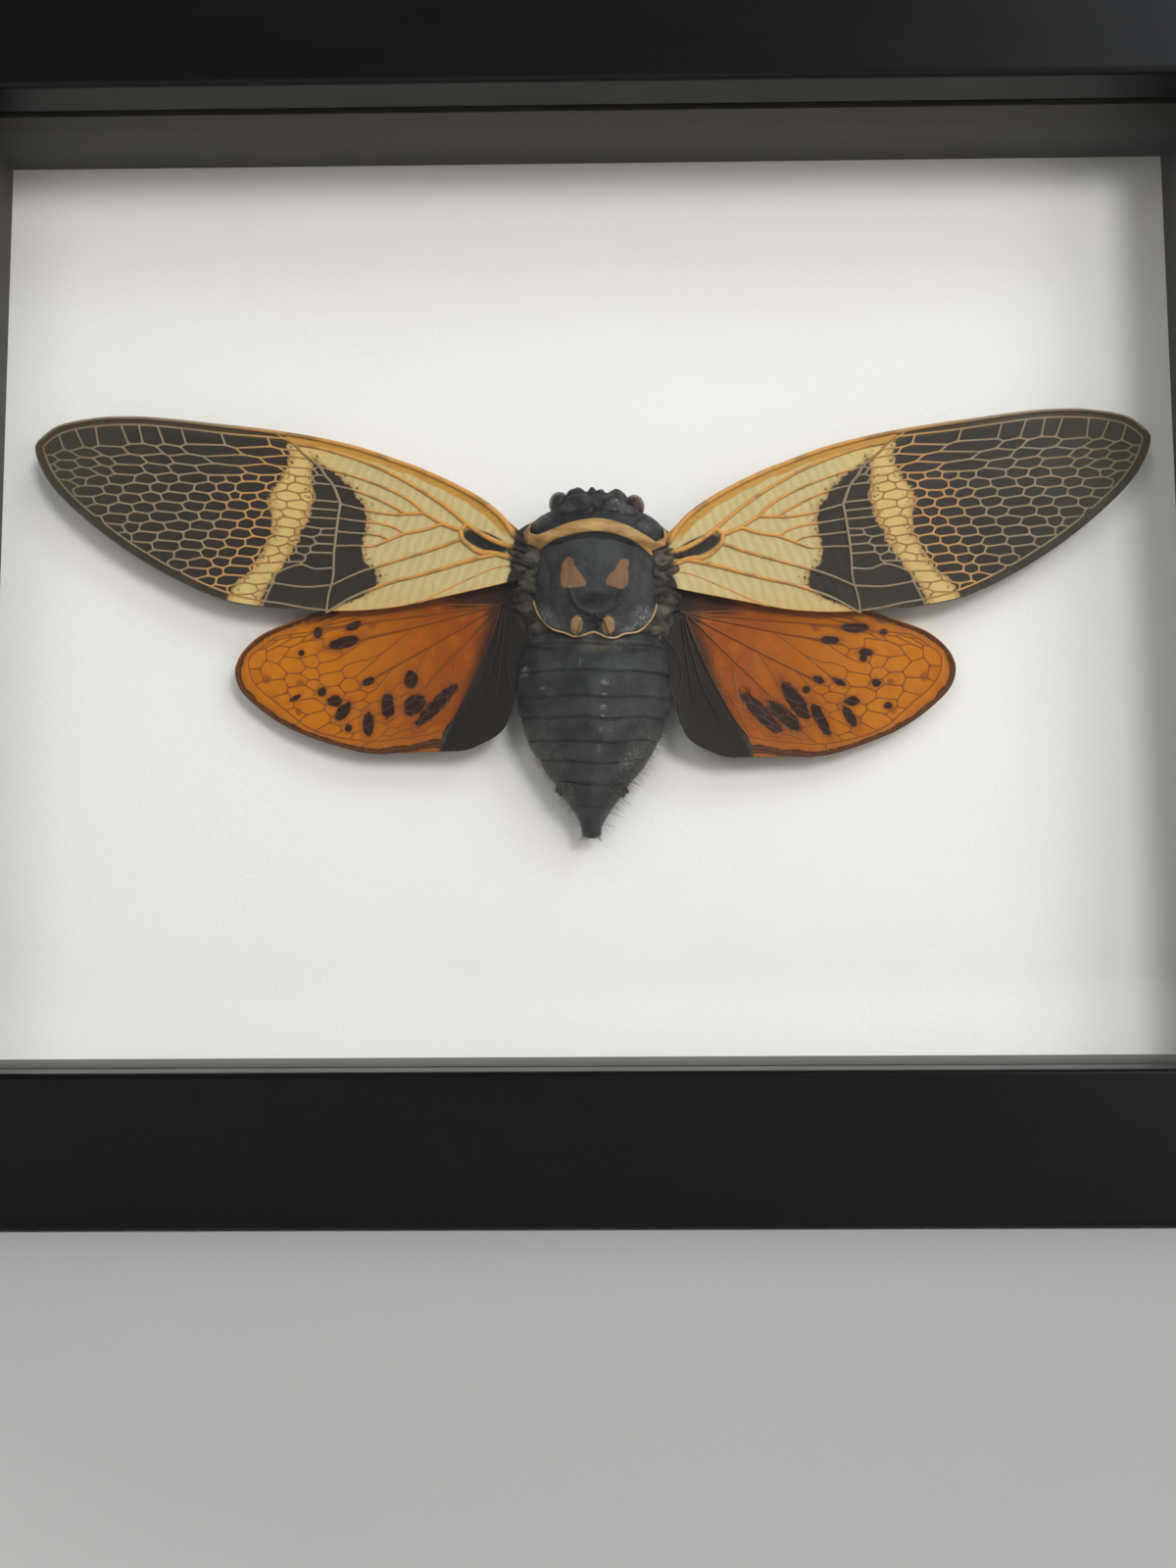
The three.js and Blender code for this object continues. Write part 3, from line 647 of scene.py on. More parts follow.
def closed_cells(fixed, net, zone):
    """The triangulation of the lines, without net lines outside the zone and loose ends."""
    places, edges, is_net = [], [], []
    for group, loose in ((fixed, False), (net, True)):
        for line in group:
            first = len(places)
            places.extend(line)
            edges.extend((first + i, first + i + 1) for i in range(len(line) - 1))
            is_net.extend([loose] * (len(line) - 1))
    spots, links, _, _, sources, _ = delaunay_2d_cdt(places, edges, [], KEEP_ALL, SAME_SPOT, True)
    kept = []
    for link, source in zip(links, sources):
        centre = (spots[link[0]] + spots[link[1]]) / 2
        if source and (not all(is_net[s] for s in source) or inside(centre, zone)):
            kept.append(link)
    while True:
        uses = {}
        for a, b in kept:
            uses[a] = uses.get(a, 0) + 1
            uses[b] = uses.get(b, 0) + 1
        tied = [link for link in kept if uses[link[0]] > 1 and uses[link[1]] > 1]
        if len(tied) == len(kept):
            break
        kept = tied
    used = sorted({i for link in kept for i in link})
    order = {old: new for new, old in enumerate(used)}
    links = [(order[a], order[b]) for a, b in kept]
    return delaunay_2d_cdt([spots[i] for i in used], links, [], KEEP_ALL, SAME_SPOT, True)


def cell_mesh(fixed, net, zone):
    """One flat face for each cell."""
    spots, links, triangles, _, sources, _ = closed_cells(fixed, net, zone)
    bm = bmesh.new()
    corners = [bm.verts.new((spot.x, spot.y, 0)) for spot in spots]
    for triangle in triangles:
        bm.faces.new([corners[i] for i in triangle])
    fillers = [bm.edges.get((corners[a], corners[b]))
               for (a, b), source in zip(links, sources) if not source]
    bmesh.ops.dissolve_edges(bm, edges=[edge for edge in fillers if edge], use_verts=False)
    bmesh.ops.remove_doubles(bm, verts=bm.verts, dist=MERGE)
    loose = [v for v in bm.verts if not v.link_faces]
    bmesh.ops.delete(bm, geom=loose, context="VERTS")
    for _ in range(3):
        small = [f for f in bm.faces if f.calc_area() < SMALLEST_CELL]
        shared = [[e for e in f.edges if len(e.link_faces) == 2] for f in small]
        longest = dict.fromkeys(max(edges, key=lambda e: e.calc_length()) for edges in shared if edges)
        if not longest:
            break
        bmesh.ops.dissolve_edges(bm, edges=list(longest), use_verts=False)
    return bm

# %% [markdown]
# ### From cells to a wing
# Each cell is inset. The rim that this makes becomes the vein, a low roof between two
# cells, and the sunken middle becomes the film. Where two lines meet at a sharp corner
# the inset would run far out, so it is held back there. A second inset ring keeps the
# vein's width when the sheet is smoothed. The sheet is then cut into small pieces, lifted
# to its height over the card, smoothed once and given its thin wall by modifiers.

# %% Wing sheets
VEIN, FILM = 0, 1
FORE_VEIN_HALF, HIND_VEIN_HALF = 0.07, 0.045
SUNK = -0.1
FARTHEST = 2.2        # in half widths of a vein, at a sharp corner
SECOND_RING = 1.6     # in half widths too
CUT_PITCH = 1.5
FILM_WALL = 0.06 * MM


def fore_lift(x, y):
    """The forewing's height over the card: it droops outwards and is a little cambered."""
    out = max(0.0, -x - 7)
    chord = 0.35 * math.sin(math.pi * between(y, leading_height(x) - 17, leading_height(x)))
    wave = 0.22 * noise.noise(Vector((x * 0.12, y * 0.16, 3.1)))
    return 3.5 + 3.1 * math.exp(-out / 18) + chord * between(out, 0, 12) + wave


def hind_lift(x, y):
    out = max(0.0, -x - 7)
    wave = 0.25 * noise.noise(Vector((x * 0.15, y * 0.2, 7.7)))
    return 2.5 + 2.6 * math.exp(-out / 14) + wave


def wing_sheet(fixed, net, zone, outline, vein_half, lift):
    """The net and its film. Each point also stores its distance from the wing's edge."""
    bm = cell_mesh(fixed, net, zone)
    cells = list(bm.faces)
    bmesh.ops.recalc_face_normals(bm, faces=cells)
    if sum(face.normal.z for face in cells) < 0:
        bmesh.ops.reverse_faces(bm, faces=cells)
    before = {face: [vertex.co.copy() for vertex in face.verts] for face in cells}
    bmesh.ops.inset_individual(bm, faces=cells, thickness=vein_half, depth=SUNK, use_even_offset=True)
    for face, corners in before.items():
        for vertex, corner in zip(face.verts, corners):
            moved = Vector((vertex.co.x - corner.x, vertex.co.y - corner.y))
            if moved.length > FARTHEST * vein_half:
                moved *= FARTHEST * vein_half / moved.length
                vertex.co.x, vertex.co.y = corner.x + moved.x, corner.y + moved.y
    for face in bm.faces:
        face.material_index = VEIN
    for face in cells:
        face.material_index = FILM
    bmesh.ops.inset_individual(bm, faces=cells, thickness=SECOND_RING * vein_half,
                               use_even_offset=False)
    low = [min(p[i] for p in outline) for i in (0, 1)]
    high = [max(p[i] for p in outline) for i in (0, 1)]
    for axis in (0, 1):
        place = low[axis] + CUT_PITCH
        while place < high[axis]:
            at, across = Vector((0, 0, 0)), Vector((0, 0, 0))
            at[axis], across[axis] = place, 1
            everything = bm.verts[:] + bm.edges[:] + bm.faces[:]
            bmesh.ops.bisect_plane(bm, geom=everything, dist=0.02, plane_co=at, plane_no=across)
            place += CUT_PITCH
    bmesh.ops.remove_doubles(bm, verts=bm.verts, dist=0.015)
    tree = KDTree(len(outline))
    for i, point in enumerate(outline):
        tree.insert((point[0], point[1], 0), i)
    tree.balance()
    edge_layer = bm.verts.layers.float.new("from_edge")
    for vertex in bm.verts:
        x, y, _ = vertex.co
        vertex[edge_layer] = tree.find((x, y, 0))[2]
        vertex.co.z += lift(x, y)
    return bm

# %% Right wings mirror the left ones
RIGHT_FORE = {"turn": 0.87, "x": 1.27, "y": -0.89}
RIGHT_HIND = {"turn": 1.82, "x": 1.32, "y": -1.29}


def mirrored(place):
    """The matrix from the left wing to the right one, which is turned a little more."""
    return (Matrix.Translation((place["x"], place["y"], 0))
            @ Matrix.Rotation(math.radians(place["turn"]), 4, "Z") @ Matrix.Diagonal((-1, 1, 1, 1)))


def finished(bm, name, materials):
    """Stands the mesh up in the frame and makes it a piece of the insect."""
    bm.transform(STAND_UP)
    mesh = bpy.data.meshes.new(name)
    bm.to_mesh(mesh)
    bm.free()
    for material in materials:
        mesh.materials.append(material)
    mesh.shade_smooth()
    piece = new_object(name, mesh)
    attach(piece, "root")
    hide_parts("cicada")
    return piece


def wing_piece(bm, name, materials, right):
    if right:
        bm.transform(mirrored(right))
        bmesh.ops.reverse_faces(bm, faces=bm.faces[:])
    return finished(bm, name, materials)


def rounded_film(piece):
    rounding = piece.modifiers.new("rounding", "SUBSURF")
    rounding.levels = rounding.render_levels = 1
    wall = piece.modifiers.new("film", "SOLIDIFY")
    wall.thickness = FILM_WALL
    wall.offset = 0

# %% [markdown]
# ### Colours of the forewing
# The film is near black towards the tip, with a pale band across it and a second dark
# patch inside the band. On the real wing pigment stops raggedly at these borders. Each
# border is a curve, x for every y, and noise frays it. The same curves serve both wings,
# because a mapping turns a place on the right wing into the matching one on the left.

# %% Helpers for places on a wing
def wing_place(place, right):
    """The place on the left wing that matches this one on the right wing."""
    if not right:
        return place
    values = {"Vector": place, "Location": (right["x"], right["y"], 0),
              "Rotation": (0, 0, math.radians(right["turn"])), "Scale": (-1, 1, 1)}
    return place.node("Mapping", values, vector_type="TEXTURE")


X_RANGE, Y_RANGE = (-40.0, -6.0), (-18.0, 20.0)


def border_at(y, border, wide=X_RANGE, tall=Y_RANGE):
    """How far out the border lies at each height, in mm."""
    spots = sorted(((py - tall[0]) / (tall[1] - tall[0]), (px - wide[0]) / (wide[1] - wide[0]))
                   for px, py in border)
    share = (y - tall[0]) / (tall[1] - tall[0])
    found = y.node("FloatCurve", {"Value": share}, points=spots)
    return found * (wide[1] - wide[0]) + wide[0]


def oval(flat, centre, halves, angle):
    """Distance from an oval's centre, 1 at its edge."""
    values = {"Vector": flat, "Location": (*centre, 0), "Rotation": (0, 0, math.radians(angle)),
              "Scale": (*halves, 1)}
    turned = flat.node("Mapping", values, vector_type="TEXTURE")
    return flat.node("VectorMath", {0: turned}, out="Value", operation="LENGTH")


def flattened(place):
    x, y, _ = place.parts()
    return x, y, place.node("CombineXYZ", {0: x, 1: y})


def edge_distance(place):
    """What wing_sheet stored: mm from the wing's edge."""
    return place.node("Attribute", out="Fac", attribute_name="from_edge")

# %% Markings of the forewing
TIP_BORDER = [(-31.4, 18.5), (-31.1, 16.3), (-30.6, 14.1), (-31.4, 11.9), (-32.5, 10), (-32.5, 8.3),
              (-32.1, 6.4), (-33.3, 4.2), (-34.5, 2.3), (-36.2, 0.6), (-37, -0.9), (-37.4, -3)]
PATCH_OUTER = [(-27.5, 15.2), (-28.2, 13.6), (-28.2, 11.1), (-28.1, 9.2), (-28.6, 7.4), (-29.6, 5.4),
               (-30.5, 3.6), (-31.6, 2.1), (-32.7, 0.6), (-33.5, -0.9), (-34, -3)]
PATCH_INNER = [(-29.5, 15.2), (-27.6, 13.4), (-25.4, 11.9), (-23.6, 9.9), (-22.6, 8.2), (-22.5, 6.3),
               (-22.9, 4.5), (-22.7, 3), (-21.3, 1.6), (-21.4, 0.5), (-25, -1.6), (-27.5, -2.6)]


def fore_masks(place):
    """The place, where pigment is dark, and the distances inside the borders, in mm."""
    x, y, flat = flattened(place)
    fray = (speckle(flat, 1.1, 4, 0.65) - 0.5) * 1.7
    tip = border_at(y, TIP_BORDER) - x + fray
    patch = (x - border_at(y, PATCH_OUTER)).smaller(border_at(y, PATCH_INNER) - x) + fray
    depth = tip.larger(patch)
    specks = speckle(flat, 2.4, 1, 0.4).step(0.6, 0.68) * depth.step(-1.5, -0.2)
    dark = depth.step(-0.12, 0.22).larger(specks)
    return x, y, flat, dark, tip, depth


def fore_film(name, right):
    material, place = new_finish(name)
    x, y, flat, dark, _, depth = fore_masks(wing_place(place, right))
    mottle = speckle(flat, 0.5, 4, 0.6)
    fine = speckle(flat, 3.2, 4, 0.7)
    phase = (x * 0.94 - 0.34 * y) * 6.4 + 9 * mottle
    ripple = phase.sum("SINE", phase) * 0.5 + 0.5
    basal = x.step(-29, -24)
    cream = blend(mottle, (193, 165, 100), (215, 188, 124))
    greenish = blend(ripple * 0.5 + mottle * 0.5, (182, 164, 112), (204, 186, 136))
    light = cream.over(greenish, basal)
    light = light.over((205, 150, 78), (y * -1 + 0.4 * fine).step(-0.6, 2.4) * basal * 0.35)
    black = blend(fine, (36, 32, 29), (56, 48, 41))
    black = black.over((64, 56, 42), (x * -1).step(40, 58) * 0.75)
    halo = depth.step(-1.0, 0.1)
    light = light.over((150, 96, 40), halo * 0.55)
    edge = edge_distance(place)
    black = black.over((74, 64, 48), edge.step(1.4, 0.2) * mottle.step(0.35, 0.6) * 0.5)
    colour = light.over(black, dark)
    leading = (y + 0.16 * x - 4.0).step(-0.8, 0.8)
    strip = edge.step(1.12, 0.95) * leading
    lines = speckle(place, 1.0, 3, 0.6, (0.5, 6, 1))
    amber = blend(lines, (150, 104, 40), (214, 164, 76))
    amber = amber.over((50, 44, 35), dark * 0.95)
    colour = colour.over(amber, strip)
    root = oval(flat, (-10.2, 4.55), (2.5, 0.85), -23).step(1.25, 0.85)
    root = root.larger((x - y * 0.2 + speckle(flat, 1.2, 4, 0.7) * 1.6).step(-7.5, -7.1))
    colour = colour.over((38, 34, 30), root)
    return cover(material, {"Base Color": colour, "Roughness": 0.36 + 0.2 * fine,
                            "Normal": bump(fine + ripple * basal * 0.6, 0.00005, 0.5),
                            "Coat Weight": 0.06, "Coat Roughness": 0.25, "Specular IOR Level": 0.35})


def fore_vein(name, right):
    material, place = new_finish(name)
    x, y, flat, dark, tip, _ = fore_masks(wing_place(place, right))
    mottle = speckle(flat, 0.4, 3, 0.6)
    fine = speckle(flat, 4.0, 3, 0.7)
    orange = blend(fine, (190, 126, 52), (222, 166, 88))
    orange = orange.over((140, 112, 66), mottle.step(0.5, 0.62) * 0.6)
    grey = blend(mottle, (132, 115, 88), (156, 139, 111))
    grey = grey.over((106, 95, 76), (x * -1).step(44, 57) * 0.75)
    near_band = (tip * -1).step(-9, -1) * tip.step(-0.5, 0.5)
    grey = grey.over((200, 146, 80), near_band * 0.8)
    band = (x * -1).step(27.0, 28.5)
    orange = orange.over((150, 108, 60), band * 0.85)
    colour = orange.over(grey, dark)
    edge = edge_distance(place)
    rim = edge.step(0.3, 0.12)
    colour = colour.over((56, 49, 39), rim * (x * -1).step(25, 31))
    colour = colour.over((34, 30, 27), (x - y * 0.2).step(-8.8, -7.8))
    return cover(material, {"Base Color": colour, "Roughness": 0.38 + 0.2 * fine,
                            "Normal": bump(fine, 0.00003, 0.5), "Coat Weight": 0.1,
                            "Coat Roughness": 0.3})

# %% [markdown]
# ### Colours of the hindwing
# The hindwing is glossy orange with brown veins, a black hind lobe, a dark outer margin
# and irregular blackish spots. The spots differ between the two wings, so each wing has
# its own list of ovals, with noise on their edges. Faint streaks fan out over the lobe.

# %% Markings of the hindwing
LEFT_SPOTS = [((-24.0, -3.5), (0.85, 0.42), 25), ((-27.7, -4.1), (0.45, 0.6), 0),
              ((-25.0, -5.2), (1.8, 0.62), 15), ((-29.4, -6.2), (0.32, 0.3), 0),
              ((-22.4, -9.3), (0.7, 0.4), 25), ((-27.2, -10.3), (0.45, 0.5), 0),
              ((-25.9, -11.3), (0.8, 0.6), 0), ((-25.0, -12.4), (1.15, 0.62), 50),
              ((-24.4, -14.1), (0.4, 0.4), 0), ((-22.4, -13.7), (0.6, 1.35), 0),
              ((-20.4, -11.8), (0.7, 1.35), 0), ((-18.0, -9.2), (0.75, 0.95), 0),
              ((-17.6, -11.8), (1.3, 1.0), 35), ((-30.0, -10.9), (0.6, 0.25), 25),
              ((-15.4, -11.9), (3.0, 0.72), 45), ((-27.4, -2.3), (2.0, 0.55), 16)]
RIGHT_SPOTS = [((-26.2, -3.6), (1.45, 0.52), 0), ((-23.5, -4.8), (1.0, 0.42), 0),
               ((-29.1, -4.1), (0.42, 0.3), 0), ((-27.1, -6.2), (0.8, 0.4), 0),
               ((-26.8, -6.8), (0.42, 0.4), 0), ((-22.1, -8.9), (0.65, 0.38), 30),
               ((-24.2, -9.2), (0.8, 0.33), 30), ((-28.0, -9.4), (0.5, 0.42), 0),
               ((-25.4, -11.2), (0.8, 0.5), 0), ((-29.1, -11.8), (0.45, 0.36), 0),
               ((-25.1, -12.8), (1.3, 0.52), 60), ((-22.1, -13.0), (2.0, 0.58), 65),
               ((-19.6, -10.9), (2.4, 0.8), 57), ((-18.4, -12.5), (2.3, 0.8), 44),
               ((-20.8, -9.9), (0.4, 0.4), 0), ((-16.0, -12.1), (3.0, 0.78), 48),
               ((-28.9, -2.7), (0.9, 0.4), 16)]
FAINT_SPOTS = [((-22.1, -3.5), (0.5, 0.4), 0), ((-29.5, -9.3), (0.4, 0.35), 0),
               ((-29.6, -12.3), (0.4, 0.4), 0), ((-33.0, -8.9), (0.5, 0.5), 0)]


def lobe_mask(x, y):
    return (x - border_at(y, HIND_LOBE_LINE)).step(-0.1, 0.15)


def fray_of(flat):
    return (speckle(flat, 1.3, 3, 0.6) - 0.5) * 0.8


def spots_near(flat, spots):
    """How far the nearest oval is, with a frayed edge: 1 on its edge and less inside."""
    nearest = None
    for centre, halves, angle in spots:
        away = oval(flat, centre, halves, angle)
        nearest = away if nearest is None else nearest.smaller(away)
    return nearest + fray_of(flat)


def hind_film(name, right):
    material, place = new_finish(name)
    x, y, flat = flattened(wing_place(place, right))
    mottle = speckle(flat, 0.45, 4, 0.6)
    fine = speckle(flat, 2.6, 4, 0.7)
    outwards = (x * -1 + 0.8 * mottle).step(12, 31)
    orange = blend(outwards, (142, 66, 5), (188, 111, 5))
    orange = orange.over((172, 93, 7), mottle.step(0.45, 0.65) * 0.6)
    spots = spots_near(flat, RIGHT_SPOTS if right else LEFT_SPOTS)
    faint = spots_near(flat, FAINT_SPOTS)
    orange = orange.over((128, 62, 22), spots.step(2.0, 1.0) * 0.55)
    orange = orange.over((120, 60, 24), faint.step(1.3, 0.6) * 0.7)
    orange = orange.over((44, 25, 20), spots.step(1.12, 0.86))
    edge = edge_distance(place)
    outer = (y + 0.18 * x + 6.9).step(0.4, -0.6).larger((x * -1).step(33.4, 34.6))
    orange = orange.over((150, 86, 34), edge.step(1.25, 0.7) * outer * 0.5)
    orange = orange.over((36, 24, 20), (edge + fray_of(flat) * 0.6).step(0.62, 0.34) * outer)
    orange = orange.over((120, 66, 24), edge.step(0.4, 0.2) * 0.6)
    smoke = blend(mottle, (16, 17, 17), (31, 30, 27))
    turn = x.sum("ARCTAN2", y + 2.6, x + 7.4)
    reach = x.sum("SQRT", x * x + y * y)
    along = x.node("CombineXYZ", {0: turn * 9, 1: reach * 0.09})
    streaks = speckle(along, 1.0, 3, 0.6).step(0.46, 0.66)
    smoke = smoke.over((96, 96, 92), streaks * 0.4)
    colour = orange.over(smoke, lobe_mask(x, y))
    colour = colour.over((50, 40, 32), (y + 0.4 * fine).step(-1.9, -1.5) * x.step(-15.5, -12.5) * 0.9)
    colour = colour.over((34, 28, 24), (x - 0.3 * y).step(-10.4, -8.2) * 0.9)
    return cover(material, {"Base Color": colour, "Roughness": 0.3 + 0.2 * fine,
                            "Normal": bump(fine + mottle, 0.00008, 0.6), "Coat Weight": 0.05,
                            "Coat Roughness": 0.22, "Specular IOR Level": 0.22})


def hind_vein(name, right):
    material, place = new_finish(name)
    x, y, flat = flattened(wing_place(place, right))
    fine = speckle(flat, 4.0, 3, 0.7)
    brown = blend(fine, (118, 62, 14), (146, 84, 20))
    edge = edge_distance(place)
    spots = spots_near(flat, RIGHT_SPOTS if right else LEFT_SPOTS)
    brown = brown.over((50, 30, 20), spots.step(1.12, 0.86) * 0.9)
    brown = brown.over((34, 24, 20), edge.step(0.35, 0.15))
    colour = brown.over((40, 34, 30), lobe_mask(x, y))
    colour = colour.over((34, 26, 22), (x - 0.3 * y).step(-10.6, -8.6) * 0.8)
    return cover(material, {"Base Color": colour, "Roughness": 0.4 + 0.15 * fine,
                            "Normal": bump(fine, 0.00003, 0.5)})

# %% [markdown]
# ### Raised main veins
# The main veins stand up from the film as fine tubes, thick at the root and thin at the
# end. A curve with a bevel and a radius at every point gives such a tube directly. The
# leading edge gets the thickest tube, as on the real wing, where it stiffens the wing.

# %% Tapering rods
def add_rod(bm, points, thick, thin, lift=None, sides=3):
    """Adds a round rod along the points; its radius goes from thick to thin."""
    line = smooth_line([tuple(point) for point in points], 0.5)
    curve = bpy.data.curves.new("rod", "CURVE")
    curve.dimensions = "3D"
    curve.bevel_depth = 1
    curve.bevel_resolution = sides
    curve.use_fill_caps = True
    spline = curve.splines.new("POLY")
    spline.points.add(len(line) - 1)
    for i, point in enumerate(line):
        height = point[2] if len(point) > 2 else lift(point[0], point[1])
        spline.points[i].co = (point[0], point[1], height, 1)
        spline.points[i].radius = thick + (thin - thick) * i / max(1, len(line) - 1)
    holder = bpy.data.objects.new("rod", curve)
    bpy.context.scene.collection.objects.link(holder)
    bpy.context.view_layer.update()
    mesh = bpy.data.meshes.new_from_object(holder)
    bm.from_mesh(mesh)
    bpy.data.objects.remove(holder)
    bpy.data.curves.remove(curve)
    bpy.data.meshes.remove(mesh)


# name, first and last radius in mm
FORE_RODS = [("costa", 0.13, 0.22), ("node", 0.12, 0.16), ("nodal", 0.16, 0.1), ("first", 0.1, 0.18),
             ("second", 0.1, 0.17), ("third", 0.1, 0.15), ("fourth", 0.09, 0.14),
             ("fifth", 0.09, 0.13), ("sixth", 0.09, 0.13), ("fork", 0.13, 0.2),
             ("stem", 0.18, 0.26), ("cubitus", 0.2, 0.11), ("black_cell_end", 0.24, 0.3),
             ("black_cell_top", 0.24, 0.32), ("anal", 0.24, 0.12)]

FORE_PATHS = [(FORE_MAINS[name][1:] if name == "node" else FORE_MAINS[name], thick, thin)
              for name, thick, thin in FORE_RODS]
HIND_PATHS = [([fan_place(k / FAN, reach) for reach in (-0.02, 0.2, 0.4, 0.62)], 0.15, 0.04)
              for k in (0, 4, 8, 12, 16)]
HIND_PATHS += [(HIND_LOBE_LINE[:-1], 0.16, 0.09), (HIND_FOLDS[0][:-1], 0.13, 0.06),
               (HIND_FOLDS[1][:-1], 0.12, 0.06)]


def rim_path(line, drop):
    """The leading edge, moved inwards by less than the rod's radius."""
    return [(p.x, p.y - drop) for p in smooth_line(line, 3.0)]


def vein_rods(paths, lift):
    bm = bmesh.new()
    for points, thick, thin in paths:
        add_rod(bm, points, thick, thin, lift)
    layer = bm.verts.layers.float.new("from_edge")
    for vertex in bm.verts:
        vertex[layer] = 1.0
    return bm


FORE_PATHS.append((rim_path(FORE_LEADING, 0.12), 0.3, 0.13))
HIND_PATHS.append((rim_path(HIND_LEADING, 0.08), 0.2, 0.08))

# %% The four wings
fore_fixed = [[*fore_outline, fore_outline[0]], *map(smooth_line, FORE_MAINS.values())]
fore_fixed.append(smooth_line(fore_border))
hind_fixed = [[*hind_outline, hind_outline[0]], hind_border, smooth_line(HIND_LOBE_LINE)]
hind_fixed += map(smooth_line, HIND_FOLDS)


def make_wing(kind, side, place, finishes, paths, lift, fixed, net, zone, outline, vein_half):
    """One wing is a sheet of cells and the rods on it. The right one is mirrored to its place."""
    right = place if side == "right" else None
    paints = [finish(f"{kind}_{part}_{side}", right) for part, finish in finishes.items()]
    sheet = wing_sheet(fixed, [chopped(line) for line in net], zone, outline, vein_half, lift)
    print(f"{kind}wing", side, len(sheet.faces), "faces")
    rounded_film(wing_piece(sheet, f"{kind}wing_{side}", paints, right))
    wing_piece(vein_rods(paths, lift), f"{kind}wing_rods_{side}", paints[:1], right)


for side in ("left", "right"):
    make_wing("fore", side, RIGHT_FORE, {"vein": fore_vein, "film": fore_film}, FORE_PATHS, fore_lift,
              fore_fixed, fore_net(), fore_zone, fore_outline, FORE_VEIN_HALF)
    make_wing("hind", side, RIGHT_HIND, {"vein": hind_vein, "film": hind_film}, HIND_PATHS, hind_lift,
              hind_fixed, hind_net(), hind_zone, hind_outline, HIND_VEIN_HALF)

# %% [markdown]
# ## The body
# Every big part of the body is a round form whose width and height change along its
# length. A circle is extruded ring by ring and each new ring is scaled to its place. The
# rings lie close together, so the ledges, ridges and furrows of the shell can then be
# pressed into the surface with plain sums on each point's place.

# %% Lofts
BODY_SHIFT, BODY_TURN = 0.95, math.radians(-1.3)
BODY_PLACE = Matrix.Translation((BODY_SHIFT, 0, 0)) @ Matrix.Rotation(BODY_TURN, 4, "Z")


def loft(stations, step, sides):
    """Rings along y. A station is y, half width, underside and top, in mm."""
    bm = bmesh.new()
    rings = smooth_line(stations, step)
    face_y = Matrix.Rotation(math.pi / 2, 4, "X")
    bmesh.ops.create_circle(bm, segments=sides, radius=1, cap_ends=True, matrix=face_y)
    verts, edges = bm.verts[:], bm.edges[:]
    old = Vector((0, 1, -1, 1))
    for ring in rings:
        y, half, under, top = ring
        half = max(half, 0.05)
        if ring is not rings[0]:
            grown = bmesh.ops.extrude_edge_only(bm, edges=edges)["geom"]
            verts = [g for g in grown if isinstance(g, bmesh.types.BMVert)]
            edges = [g for g in grown if isinstance(g, bmesh.types.BMEdge)]
        centre = Vector((0, old[0], (old[2] + old[3]) / 2))
        grow = Matrix.Diagonal((half / old[1], 1, (top - under) / (old[3] - old[2]), 1))
        move = Matrix.Translation((0, y, (top + under) / 2)) @ grow @ Matrix.Translation(-centre)
        bmesh.ops.transform(bm, matrix=move, verts=verts)
        old = Vector((y, half, under, top))
    bmesh.ops.contextual_create(bm, geom=edges)
    bmesh.ops.recalc_face_normals(bm, faces=bm.faces)
    return bm


def press(bm, shape):
    """Moves every point by what shape(x, y, z) gives: a shift along x, y and z."""
    for vertex in bm.verts:
        vertex.co += Vector(shape(*vertex.co))


def grain_at(x, y, z, size, seed=0.0):
    """Smooth noise between -1 and 1 with bumps of this size in mm."""
    return noise.noise(Vector((x / size + seed, y / size, z / size)))


def ridge(x, y, path, width):
    """1 on the path and 0 away from it."""
    nearest = 1e9
    for a, b in zip(path, path[1:]):
        a, b = Vector(a), Vector(b)
        along = between((Vector((x, y)) - a).dot(b - a) / (b - a).length_squared, 0, 1)
        nearest = min(nearest, (Vector((x, y)) - a.lerp(b, along)).length)
    return math.exp(-(nearest / width) ** 2)


def body_piece(bm, name, material):
    """The body lies a little right of the middle and leans, and so do its pieces."""
    bm.transform(BODY_PLACE)
    return finished(bm, name, [material])

# %% [markdown]
# ### Shell finish
# The shell is black and softly glossy, with a dusting of pale down in places. Down lies
# in patches, so each piece gets a list of ovals where noise lets small pale flecks show. On the
# abdomen and the head some of these ovals are painted glints, pale spots that stand in for lamp light.

# %% Shell material
def body_place(place):
    values = {"Vector": place, "Location": (BODY_SHIFT, 0, 0), "Rotation": (0, 0, BODY_TURN)}
    return place.node("Mapping", values, vector_type="TEXTURE")


def shell(name, dark, light, roughness, down_and_glints=()):
    """down_and_glints: (centre, half sizes, angle, colour, amount) for each patch of pale flecks; some
    patches are down and some are painted glints.
    """
    material, place = new_finish(name)
    place = body_place(place)
    x, y, flat = flattened(place)
    cloud = speckle(place, 0.5, 4, 0.6)
    fine = speckle(place, 3.5, 5, 0.7)
    colour = blend(cloud.step(0.35, 0.65), dark, light)
    flecks = speckle(place, 4.2, 6, 0.8).step(0.5, 0.66)
    for centre, halves, angle, tint, amount in down_and_glints:
        patch = (oval(flat, centre, halves, angle) + (cloud - 0.5) * 0.9).step(1.1, 0.4)
        colour = colour.over(tint, patch * (flecks * 0.9 + 0.1) * amount * 0.75)
    cover(material, {"Roughness": roughness + 0.24 * fine, "Normal": bump(fine + cloud, 0.00014, 0.9),
                     "Specular IOR Level": 0.5, "Base Color": colour})
    return material, x, y, flat, colour, fine, cloud


def eyes_finish():
    material, x, _, _, colour, _, cloud = shell("eye_glaze", (26, 20, 18), (44, 30, 26), 0.11)
    # Painted reflection: the right eye takes a reddish tint where light from the right would shine on
    # it.
    red = colour.over((92, 54, 44), x.step(3.2, 4.6) * cloud.step(0.3, 0.6) * 0.85)
    return cover(material, {"Base Color": red, "Coat Weight": 0.5})

# %% [markdown]
# ### Abdomen
# Nine plates overlap like roof tiles, each with a low hind edge over the next. A weak
# keel runs down the middle, so one flank catches the light and the other one doesn't.

